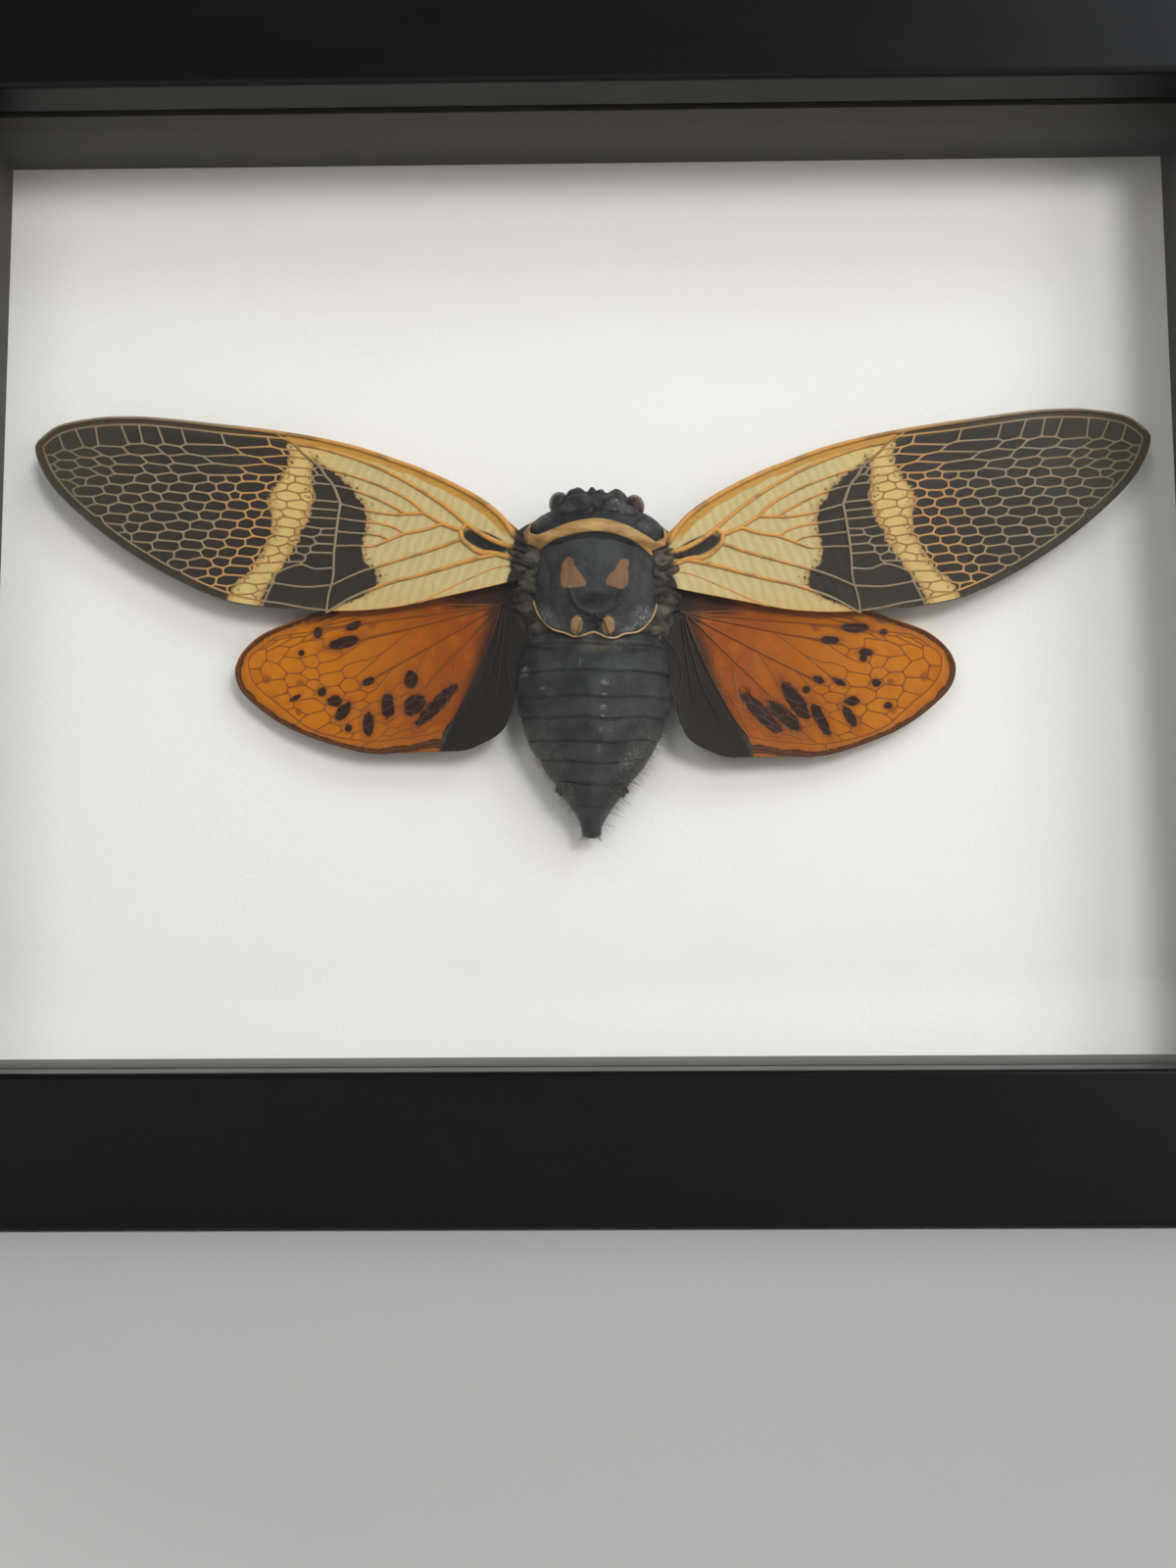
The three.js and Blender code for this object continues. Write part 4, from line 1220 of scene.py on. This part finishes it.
# %% Abdomen
ABDOMEN = [(-3.6, 5.6, 1.2, 6.4), (-4.4, 5.9, 0.9, 6.9), (-5.3, 6.9, 0.6, 7.4), (-6.4, 7.4, 0.4, 8.1),
           (-9.0, 7.75, 0.3, 8.4),
           (-11.7, 7.8, 0.3, 8.4), (-13.8, 7.3, 0.4, 8.2), (-16.2, 6.4, 0.6, 7.7),
           (-18.2, 5.2, 1.0, 6.9),
           (-20.3, 3.6, 1.5, 6.0), (-21.3, 3.0, 1.7, 5.6), (-22.2, 2.4, 1.9, 5.1),
           (-23.3, 1.6, 2.1, 4.7),
           (-24.4, 1.1, 2.2, 4.3), (-25.2, 0.95, 2.4, 4.1), (-25.55, 0.5, 2.8, 3.7)]
PLATE_ENDS = [-3.0, -6.35, -9.1, -11.75, -13.85, -16.25, -18.25, -20.35, -22.5, -26.5]


def abdomen_shape(x, y, z):
    """Ledges of the plates, the keel, dents, and a drum at each side of the front."""
    half = 7.8 if y > -13 else max(0.8, 7.8 * (1 - ((-y - 13) / 13.5) ** 1.25))
    u = between(abs(x) / half, 0, 1)
    bow = between(-y, 9, 20) * 0.9
    seen = y - bow * u * u + 0.1 * math.sin(x * 0.9) * between(-y, 5, 12)
    ledge = 0.0
    for front, hind in zip(PLATE_ENDS, PLATE_ENDS[1:]):
        if hind < seen <= front:
            t = (front - seen) / (front - hind)
            ledge = 0.17 * t ** 1.5 - 0.3 * math.exp(-((front - seen) / 0.13) ** 2)
    out = Vector((x, 0, z - 4.2))
    out = out.normalized() if out.length > 0.01 else Vector((0, 0, 1))
    upper = between(z, 3.5, 5.5)
    keel = 0.55 * math.exp(-abs(x) / 1.6) * upper * between(-y, 7.5, 10) * between(y, -25, -21)
    dents = 0.16 * grain_at(x, y, z, 1.9) + 0.05 * grain_at(x, y, z, 0.5)
    drum = 0.0
    for side in (-1, 1):
        away = math.hypot((x - side * 4.3) / 2.3, (y + 5.9) / 0.95)
        drum += (0.28 * math.exp(-away ** 4) - 0.25 * math.exp(-((away - 1.15) / 0.16) ** 2)) * upper
    push = ledge * (0.12 + 0.88 * upper) + dents + drum
    return out.x * push, 0, out.z * push + keel


abdomen = loft(ABDOMEN, 0.1, 120)
press(abdomen, abdomen_shape)
# Ovals of pale down, and further down the list painted glints and painted sheen.
abdomen_down_and_glints = [((0.1, -6.6), (2.1, 0.9), 5, (128, 116, 82), 0.9),
                ((2.6, -6.4), (1.3, 0.7), -15, (150, 142, 112), 0.9),
                ((-5.2, -15.5), (2.6, 1.1), -38, (104, 104, 96), 0.75),
                ((5.2, -15.8), (2.6, 1.3), 38, (132, 130, 118), 0.8),
                ((-3.6, -18.0), (2.0, 0.8), -35, (120, 118, 108), 0.8),
                ((3.7, -17.9), (2.2, 0.9), 40, (160, 156, 142), 0.9),
                ((0, -20.5), (2.8, 1.6), 0, (98, 97, 90), 0.6),
                ((0, -23.5), (1.6, 1.8), 0, (86, 86, 80), 0.5),
                # Painted glints: small near-white spots on the plates, mostly right of the keel; the
                # last two, lighter patches, are painted sheen.
                ((1.1, -10.4), (0.55, 0.3), 0, (225, 225, 212), 0.9),
                ((1.15, -11.6), (0.3, 0.12), 0, (240, 240, 230), 1),
                ((1.0, -12.9), (0.45, 0.35), 0, (190, 190, 178), 0.8),
                ((1.0, -13.75), (0.25, 0.12), 0, (235, 235, 225), 1),
                ((0.8, -15.1), (0.4, 0.4), 0, (170, 170, 158), 0.7),
                ((0.7, -16.9), (0.4, 0.5), 0, (190, 188, 172), 0.8),
                ((3.4, -18.1), (0.45, 0.35), 30, (226, 224, 210), 0.9),
                ((-1.3, -8.4), (0.1, 0.5), 0, (200, 200, 194), 0.8),
                ((-7.0, -9.2), (0.7, 0.5), 60, (215, 215, 208), 0.9),
                ((-5.0, -10.9), (0.35, 0.2), 0, (190, 190, 184), 0.9),
                ((1.6, -10.2), (1.1, 0.7), -30, (120, 120, 112), 0.5),
                ((1.5, -14.9), (0.9, 1.1), 0, (126, 122, 108), 0.5)]
body_piece(abdomen, "abdomen", shell("abdomen_shell", (34, 37, 38), (55, 58, 58), 0.26,
                                     abdomen_down_and_glints)[0])

# %% [markdown]
# ### Back shield
# The domed shield between the wings bears two tan flask-shaped marks, a raised cross near
# its hind edge and two tan pads beside the cross. The marks are only colour. The cross,
# the pads and the shallow furrows are pressed into the dome.

# %% Back shield
THORAX = [(5.6, 4.6, 1.6, 7.9), (5.0, 5.3, 1.2, 8.3), (3.4, 6.15, 0.6, 9.0), (1.5, 6.4, 0.4, 9.3),
          (-0.8, 6.4, 0.7, 9.25), (-2.4, 6.15, 2.2, 8.9), (-3.6, 5.6, 3.8, 8.6), (-4.6, 4.7, 5.2, 8.4),
          (-5.3, 3.5, 6.2, 8.3), (-5.8, 2.3, 6.9, 8.2), (-6.0, 1.5, 7.3, 8.1)]
PADS = {-1: (-1.75, -4.7), 1: (1.4, -4.65)}


def dome(stations, x, y):
    """Height of a loft's upper side over the card at (x, y)."""
    for (y0, *a), (y1, *b) in zip(stations, stations[1:]):
        if y1 <= y <= y0:
            t = (y0 - y) / (y0 - y1)
            half, under, top = (p + (q - p) * t for p, q in zip(a, b))
            return (under + top) / 2 + (top - under) / 2 * math.sqrt(max(0, 1 - (x / half) ** 2))
    return 0.0


CROSS = [[(-2.65, -0.95), (-2.15, -2.3), (-1.5, -3.1), (0, -3.75)],
         [(2.65, -1.3), (2.3, -2.45), (1.55, -3.1), (0, -3.75)],
         [(0, -3.75), (-1.1, -4.3), (-1.5, -5.5)], [(0, -3.75), (1.1, -4.3), (1.5, -5.5)]]
FURROWS = [[(-3.6, 4.0), (-2.6, 1.0), (-2.9, -1.2)], [(3.6, 4.0), (2.6, 1.0), (2.9, -1.2)],
           [(-5.2, 2.6), (-4.6, 0.2), (-4.7, -1.6)], [(5.2, 2.6), (4.6, 0.2), (4.7, -1.6)]]
HIND_RIM = [(-6.2, -1.8), (-5.7, -3.2), (-4.8, -4.4), (-3.9, -5.05), (-3.0, -5.3), (-2.1, -5.75),
            (-1.1, -5.65),
            (0, -5.3), (1.1, -5.75), (2.1, -5.85), (3.0, -5.35), (4.2, -5.1), (5.1, -4.4), (5.9, -3.2),
            (6.25, -2.0)]


def shield_shape(x, y, z):
    """The cross and the pads stand up, the furrows and the hollow go down."""
    upper = between(z, 5.5, 7.5)
    lift = sum(0.55 * ridge(x, y, arm, 0.16) for arm in CROSS)
    lift -= sum(0.12 * ridge(x, y, line, 0.28) for line in FURROWS)
    for pad in PADS.values():
        away = math.hypot((x - pad[0]) / 0.72, (y - pad[1]) / 1.05)
        lift += 0.4 * math.exp(-away ** 4)
    hollow = math.hypot(x / 1.9, (y + 2.6) / 1.0)
    lift -= 0.45 * math.exp(-hollow ** 2) + 0.3 * math.exp(-math.hypot(x / 0.5, (y + 4.9) / 0.5) ** 2)
    lift += 0.1 * grain_at(x, y, z, 1.5, 4) + 0.07 * grain_at(x, y, z, 0.45, 9) * between(-y, -3, 2)
    side = 0.12 * grain_at(x, y, z, 1.2, 7) * (1 - upper)
    return side if x > 0 else -side, 0, lift * upper


MARK_INNER = {-1: [(4.0, -1.2), (2.0, -1.0), (0.95, -0.8), (0.85, -0.5), (1.1, -0.1), (1.6, 0.6),
                   (2.0, 1.2),
                   (2.25, 1.8), (2.6, 2.15), (4.0, 2.35)],
              1: [(4.0, -1.1), (1.7, -0.85), (1.15, -0.6), (1.1, -0.25), (1.4, 0.3), (2.0, 0.95),
                  (2.25, 1.5),
                  (2.45, 1.9), (3.2, 2.1), (4.2, 2.3)]}
MARK_OUTER = {-1: [(2.0, -1.2), (3.0, -1.0), (3.3, -0.7), (3.45, 0.2), (3.35, 1.2), (3.15, 1.8),
                   (2.9, 2.1), (2.4, 2.4)],
              1: [(2.0, -1.1), (3.1, -0.8), (3.3, -0.5), (3.35, 0.5), (3.3, 1.2), (3.4, 1.8),
                  (3.3, 2.05), (2.4, 2.3)]}


def shield_finish():
    silver = (196, 198, 196)
    down_and_glints = [((4.9, -3.6), (1.8, 1.3), 40, silver, 0.95), ((-4.9, -3.6), (1.8, 1.0), -45, silver, 0.75),
            ((3.4, -5.0), (1.0, 0.5), 15, (220, 220, 216), 0.9),
            ((-3.6, -4.8), (0.6, 0.5), 0, silver, 0.7),
            ((4.6, 0.4), (0.9, 1.5), 20, (112, 118, 122), 0.7),
            ((5.6, 1.0), (0.5, 2.6), 0, (120, 120, 118), 0.5),
            ((0.2, 1.0), (2.0, 3.0), 0, (84, 88, 88), 0.35),
            ((-5.7, 1.4), (0.5, 2.4), 0, (104, 106, 106), 0.4),
            ((0.2, -3.0), (2.6, 0.9), 0, (120, 122, 120), 0.45),
            ((-1.1, 4.2), (0.6, 0.25), 0, (150, 150, 144), 0.6),
            ((1.4, 4.15), (0.5, 0.25), 0, (170, 170, 164), 0.6)]
    material, x, y, flat, colour, fine, cloud = shell("back_shield", (36, 38, 39), (57, 60, 61), 0.28,
                                                      down_and_glints)
    ragged = (speckle(flat, 2.2, 3, 0.6) - 0.5) * 0.5
    for side in (-1, 1):
        across, lifted = x * side + ragged * 0.5, y + ragged * 0.4
        inner = border_at(lifted, MARK_INNER[side], (0, 5), (-2, 3))
        outer = border_at(lifted, MARK_OUTER[side], (0, 5), (-2, 3))
        mark = (across - inner).step(-0.04, 0.1) * (outer - across).step(-0.04, 0.1)
        tan = blend(cloud, (110, 79, 56), (152, 111, 78))
        colour = colour.over(tan, mark * 0.95)
        pad = oval(flat, PADS[side], (0.66, 0.98), 0) + ragged * 0.6
        ochre = blend(fine, (118, 90, 60), (176, 142, 100))
        colour = colour.over(ochre, pad.step(1.05, 0.85))
    # Painted shade: the hollow inside the cross's arms and the small pit behind it are darkened in
    # colour.
    colour = colour.over((14, 14, 14), oval(flat, (-0.1, -2.3), (1.8, 0.9), 0).step(1.1, 0.6) * 0.6)
    colour = colour.over((14, 13, 13), oval(flat, (-0.15, -4.8), (0.7, 0.8), 0).step(1.1, 0.7) * 0.8)
    return cover(material, {"Base Color": colour})


def tan_horn(name, dark, light):
    material, place = new_finish(name)
    long = speckle(place, 0.8, 5, 0.65, (0.5, 1.6, 1))
    fine = speckle(place, 4.0, 4, 0.7)
    colour = blend(long.step(0.3, 0.7), dark, light)
    colour = colour.over((112, 80, 44), fine.step(0.6, 0.72) * 0.45)
    return cover(material, {"Base Color": colour, "Roughness": 0.4 + 0.25 * fine,
                            "Normal": bump(long + fine, 0.00006, 0.6)})


thorax = loft(THORAX, 0.12, 220)
press(thorax, shield_shape)
body_piece(thorax, "back_shield", shield_finish())
rim = bmesh.new()
add_rod(rim, HIND_RIM, 0.11, 0.11, lambda x, y: 8.28 - 0.055 * x * x, sides=4)
body_piece(rim, "shield_rim", tan_horn("pale_rim", (150, 116, 78), (198, 166, 124)))

# %% [markdown]
# ### Collar and neck shield
# In front of the back shield lies the black neck shield, with a lobe at each side, and
# behind it the tan collar, a flat band that rises over the dome and turns up at its ends.

# %% Neck shield and collar
NECK = [(8.1, 3.6, 2.4, 6.8), (7.5, 5.2, 2.0, 7.7), (6.9, 6.1, 1.6, 8.3), (6.2, 6.8, 1.4, 8.6),
        (5.4, 7.45, 1.3, 8.8),
        (4.6, 7.6, 1.3, 8.9), (3.9, 7.5, 1.7, 8.7), (3.4, 6.2, 2.2, 8.3), (3.1, 4.6, 2.8, 7.8)]
COLLAR = [(-6.5, 6.6, 0.06), (-6.8, 6.0, 0.2), (-7.05, 5.1, 0.4), (-6.8, 4.2, 0.72), (-6.0, 3.95, 0.74),
          (-5.1, 4.2, 0.62), (-4.2, 4.55, 0.58), (-3.2, 4.85, 0.64), (-1.7, 5.22, 0.7), (0, 5.42, 0.72),
          (1.7, 5.22, 0.7), (3.2, 4.78, 0.64),
          (4.3, 4.3, 0.6), (5.2, 3.85, 0.62), (6.1, 3.35, 0.7), (6.9, 3.3, 0.62), (7.2, 4.1, 0.4),
          (7.1, 5.0, 0.24),
          (6.8, 6.0, 0.08)]


def neck_shape(x, y, z):
    upper = between(z, 5, 7)
    valley = 0.35 * ridge(x, y, [(-5.2, 7.2), (-3.6, 5.6)], 0.35) + 0.35 * ridge(x, y,
                                                                                 [(5.2, 7.2),
                                                                                  (3.6, 5.6)], 0.35)
    dents = 0.14 * grain_at(x, y, z, 1.0, 3) + 0.05 * grain_at(x, y, z, 0.4, 5)
    sag = -0.5 * between(abs(x), 4.5, 7.2) ** 2
    return 0, 0, (dents - valley + sag) * upper


neck_down = [((4.9, 5.6), (0.9, 0.5), -30, (190, 192, 188), 0.8),
             ((3.0, 6.4), (1.4, 0.6), -30, (120, 122, 122), 0.6),
             ((-6.3, 6.4), (0.5, 0.6), 50, (150, 140, 110), 0.5)]
neck = loft(NECK, 0.14, 90)
press(neck, neck_shape)
body_piece(neck, "neck_shield", shell("neck_shell", (22, 23, 24), (38, 40, 41), 0.36, neck_down)[0])


def collar_band():
    bm = bmesh.new()
    rings = smooth_line(COLLAR, 0.25)
    points = [(r[0], r[1], 0) for r in rings]
    add_rod(bm, points, 1.0, 1.0, sides=5)
    tree = KDTree(len(rings))
    for i, point in enumerate(points):
        tree.insert(point, i)
    tree.balance()
    for vertex in bm.verts:
        x, y, z = vertex.co
        centre, i, _ = tree.find((x, y, 0))
        width = rings[i][2]
        out = math.hypot(x - centre.x, y - centre.y)
        x, y = centre.x + (x - centre.x) * width, centre.y + (y - centre.y) * width
        flat_top = math.copysign(0.24 * math.sqrt(max(0, 1 - min(1, out) ** 6)), z)
        lower = max(dome(NECK, x, y), dome(THORAX, x, y), 4.0)
        vertex.co = (x, y, lower + 0.12 + flat_top + 0.06 * grain_at(x, y, z, 0.8))
    return bm


body_piece(collar_band(), "collar", tan_horn("tan_horn", (140, 104, 56), (196, 156, 98)))

# %% [markdown]
# ### Head
# The head is short and broad. A row of bumps makes its front edge, and a round eye bulges
# at each side. The bumps and the crown are separate round forms, joined into one skin by
# a voxel remesh, which softens the joints the way a real head is rounded there.

# %% Head
CROWN = [(9.5, 2.2, 3.6, 6.2), (9.2, 3.2, 2.8, 7.0), (8.5, 4.1, 2.2, 7.7), (7.4, 4.6, 1.9, 8.0),
         (6.3, 4.5, 2.1, 7.9)]
BUMPS = [((-2.05, 9.05, 6.2), (1.1, 0.85, 1.2)), ((-0.45, 9.3, 6.2), (0.45, 0.6, 1.1)),
         ((0.4, 9.25, 6.2), (0.45, 0.6, 1.1)),
         ((1.95, 8.9, 6.2), (1.1, 0.85, 1.2)), ((-3.6, 7.3, 5.6), (0.8, 0.9, 1.2)),
         ((3.8, 7.1, 5.6), (0.9, 0.9, 1.2)), ((-1.6, 8.2, 7.2), (1.4, 0.8, 0.9)),
         ((1.5, 8.1, 7.2), (1.5, 0.8, 0.9)),
         ((0, 7.6, 7.8), (0.5, 0.45, 0.5)), ((-0.75, 6.9, 7.9), (0.5, 0.4, 0.45)),
         ((0.75, 6.9, 7.9), (0.5, 0.4, 0.45)),
         ((-3.0, 7.2, 7.0), (1.3, 0.9, 1.1)), ((3.0, 7.1, 7.0), (1.3, 0.9, 1.1)),
         ((0, 8.6, 3.4), (2.4, 1.2, 2.0))]


def add_ball(bm, place, halves, detail=24):
    size = Matrix.Translation(place) @ Matrix.Diagonal((*halves, 1))
    bmesh.ops.create_uvsphere(bm, u_segments=detail, v_segments=detail // 2, radius=1, matrix=size)


def rough(x, y, z, size, depth):
    push = grain_at(x, y, z, size, 2)
    return 0, depth * 0.5 * push, depth * push


def skinned(piece, voxel):
    """One soft skin over all the parts of a piece; voxel is its grain in mm."""
    skin = piece.modifiers.new("skin", "REMESH")
    skin.mode = "VOXEL"
    skin.voxel_size = voxel * MM
    skin.use_smooth_shade = True
    soft = piece.modifiers.new("soft", "SMOOTH")
    soft.factor, soft.iterations = 0.5, 3


head = loft(CROWN, 0.3, 48)
for place, halves in BUMPS:
    add_ball(head, place, halves)
press(head, lambda x, y, z: Vector(rough(x, y, z, 0.8, 0.25)) + Vector(rough(x, y, z, 0.3, 0.12)))
# Pale down in patches; the near-white spot and the pale grey patch on the right are painted glints of
# the lamps.
head_down_and_glints = [((2.3, 7.4), (1.6, 1.0), -20, (176, 180, 180), 0.85),
             ((2.0, 8.3), (0.3, 0.25), 0, (225, 228, 226), 0.9),
             ((-1.2, 7.7), (1.8, 0.8), 0, (92, 95, 95), 0.7),
             ((0.2, 6.7), (2.2, 0.5), 0, (150, 152, 150), 0.6),
             ((-2.9, 7.3), (1.4, 0.7), 30, (84, 84, 82), 0.7),
             ((0.3, 8.6), (1.6, 0.5), 0, (96, 98, 98), 0.5)]
head_black = shell("head_shell", (19, 20, 21), (38, 39, 40), 0.26, head_down_and_glints)[0]
skinned(body_piece(head, "head", head_black), 0.13)
eyes = bmesh.new()
for side, y in ((-1, 8.5), (1, 8.3)):
    add_ball(eyes, (side * 3.8, y - 0.1, 5.5), (1.1, 1.25, 1.6), 32)
press(eyes, lambda x, y, z: (0.0, 0.03 * grain_at(x, y, z, 0.5), 0.04 * grain_at(x, y, z, 0.5)))
body_piece(eyes, "eyes", eyes_finish())

# %% [markdown]
# ### Wing roots, legs and claspers
# Between the body and each wing lie small folded plates of grey-brown skin. They are
# modelled as a heap of bent rods and balls with one rough skin over them. The legs are
# folded under the body, and one black knee shows beside the left shoulder.

# %% Wing roots
ROOT_BALLS = [((6.4, 2.6, 6.0), (1.6, 1.1, 1.1)), ((7.6, 1.6, 5.9), (1.2, 0.8, 0.8)),
              ((6.6, 0.2, 5.6), (1.3, 1.2, 1.1)),
              ((7.3, -1.4, 5.0), (1.2, 0.9, 0.9)), ((6.4, -2.6, 5.0), (1.5, 1.1, 1.2)),
              ((7.4, -3.4, 4.4), (0.9, 1.0, 0.8)),
              ((5.4, -4.4, 5.2), (1.5, 0.9, 1.1)), ((6.6, -5.2, 4.2), (1.0, 1.6, 0.8)),
              ((8.2, 3.1, 6.1), (0.8, 0.5, 0.5))]
ROOT_RODS = [[(5.6, 3.4, 6.6), (7.2, 3.6, 6.4), (8.8, 3.2, 6.5)],
             [(5.8, 1.2, 6.6), (7.4, 0.6, 6.2), (8.6, 1.6, 6.0)],
             [(5.8, -0.8, 6.4), (7.4, -0.4, 5.8), (8.8, -1.0, 5.2)],
             [(5.4, -2.0, 6.0), (7.0, -2.6, 5.4), (8.6, -2.2, 5.0)],
             [(5.2, -3.6, 5.8), (6.8, -4.2, 4.8), (7.8, -6.8, 4.2)],
             [(4.8, -4.6, 5.6), (6.4, -6.0, 4.6), (7.2, -9.4, 4.0)],
             [(6.2, -3.0, 5.6), (7.4, -4.8, 4.8), (8.2, -8.6, 4.2)]]


def root_heap(side):
    bm = bmesh.new()
    for place, halves in ROOT_BALLS:
        add_ball(bm, place, halves, 16)
    for path in ROOT_RODS:
        add_rod(bm, path, 0.42, 0.2, sides=3)
    press(bm, lambda x, y, z: Vector(rough(x, y, z, 0.7, 0.45)) + Vector(rough(x, y, z, 0.28, 0.18)))
    if side < 0:
        bm.transform(Matrix.Diagonal((-1, 1, 1, 1)))
        bmesh.ops.reverse_faces(bm, faces=bm.faces[:])
    return bm


root_down = [((6.9, 2.4), (1.4, 0.9), 0, (168, 170, 166), 0.6),
             ((-6.9, 2.4), (1.4, 0.9), 0, (150, 150, 144), 0.5),
             ((7.0, -2.6), (0.9, 0.8), 0, (176, 178, 176), 0.6),
             ((6.3, -4.6), (0.55, 0.55), 0, (168, 146, 98), 0.95),
             ((-6.2, -4.4), (0.8, 0.6), 0, (110, 92, 60), 0.7),
             ((-7.0, -2.4), (1.0, 0.7), 0, (150, 152, 146), 0.5)]
root_brown = shell("root_skin", (34, 30, 26), (82, 72, 60), 0.38, root_down)[0]
for side, word in ((-1, "left"), (1, "right")):
    skinned(body_piece(root_heap(side), f"wing_root_{word}", root_brown), 0.1)

# %% Legs and claspers
LEGS = [[(2.4, 5, 1.4), (5.6, 3.6, 1.4), (7.2, 4.6, 2.6), (7.2, 6.4, 2.0), (4.6, 8.4, 0.8)],
        [(2.6, 1.5, 1.2), (6.6, -0.5, 1.4), (5.6, -5, 0.8), (5, -8, 0.7)],
        [(2.6, -2, 1.2), (5.6, -4.4, 1.1), (4.6, -9, 0.7), (3.6, -12.6, 0.7)]]
legs = bmesh.new()
for side in (-1, 1):
    for path in LEGS:
        add_rod(legs, [(side * x, y, z) for x, y, z in path], 0.62, 0.26, sides=4)
    add_rod(legs, [(side * 2.6, -19.4, 4.6), (side * 3.25, -20.5, 4.3), (side * 3.0, -21.3, 4.0)], 0.5,
            0.28, sides=4)
    add_rod(legs, [(side * 3.2, -20.2, 4.3), (side * 3.65, -21.0, 4.2)], 0.3, 0.12, sides=3)
add_rod(legs, [(-5.6, 3.4, 2.0), (-7.6, 4.3, 3.2), (-8.0, 5.3, 3.4), (-7.4, 6.4, 2.8),
               (-5.2, 8.0, 1.4)], 0.5, 0.3, sides=4)
press(legs, lambda x, y, z: rough(x, y, z, 0.5, 0.12))
body_piece(legs, "legs", shell("leg_shell", (24, 22, 20), (50, 44, 38), 0.31)[0])

# %% [markdown]
# ### Hair
# Fine hairs stand out from the rear sides and the tip of the abdomen and a few from the
# head and shoulders. Each one is a three-sided needle, so some thousands of them stay
# light. They are set by a seeded random choice on the flanks.

# %% Hair
FLANK_HAIRS, TAIL_HAIRS, SHOULDER_HAIRS = 1500, 160, 240


def needle(bm, base, towards, length, thick):
    lean = Vector(towards).normalized().to_track_quat("Z", "Y").to_matrix().to_4x4()
    place = Matrix.Translation(Vector(base) + Vector(towards).normalized() * length / 2) @ lean
    bmesh.ops.create_cone(bm, segments=3, radius1=thick, radius2=thick * 0.25, depth=length,
                          matrix=place)


def flank(y):
    """Half width of the abdomen at y."""
    for (y0, w0, *_), (y1, w1, *_) in zip(ABDOMEN, ABDOMEN[1:]):
        if y1 <= y <= y0:
            return w0 + (w1 - w0) * (y0 - y) / (y0 - y1)
    return 0.3


def hairs():
    random.seed(21)
    bm = bmesh.new()
    for _ in range(FLANK_HAIRS):
        y = random.triangular(-25.4, -9.5, -20)
        side = random.choice((-1, 1))
        angle = random.uniform(-0.5, 1.0)
        half = flank(y)
        mid, tall = 4.3, 3.6 * half / 7.8 + 0.6
        base = (side * half * math.cos(angle) * 0.98, y, mid + tall * math.sin(angle))
        out = (side * math.cos(angle) + random.uniform(-0.25, 0.25), random.uniform(-1.0, -0.2),
               math.sin(angle) * 0.7 + random.uniform(-0.2, 0.3))
        needle(bm, base, out, random.uniform(0.5, 1.5) * (1.1 if side > 0 else 0.7), 0.011)
    for _ in range(TAIL_HAIRS):
        angle = random.uniform(0, math.tau)
        base = (0.8 * math.cos(angle), random.uniform(-25.5, -24.6), 3.3 + 0.7 * math.sin(angle))
        out = (math.cos(angle) + random.uniform(-0.3, 0.3), -1.2, math.sin(angle) * 0.6)
        needle(bm, base, out, random.uniform(0.4, 0.9), 0.014)
    for _ in range(SHOULDER_HAIRS):
        side = random.choice((-1, 1))
        y = random.uniform(-5.5, 9.0)
        reach = 6.6 if y < 5 else 4.3
        base = (side * reach * random.uniform(0.85, 1.0), y, random.uniform(5.5, 7.2))
        needle(bm, base, (side, random.uniform(-0.6, 0.9), random.uniform(0, 0.8)),
               random.uniform(0.4, 0.9), 0.012)
    return bm


def hair_finish():
    material, place = new_finish("hair")
    tone = speckle(place, 1.5, 2, 0.5)
    colour = blend(tone.step(0.35, 0.65), (60, 54, 46), (150, 138, 116))
    return cover(material, {"Base Color": colour, "Roughness": 0.5})


hair_piece = hairs()
print("hairs have", len(hair_piece.faces), "faces")
body_piece(hair_piece, "hairs", hair_finish())
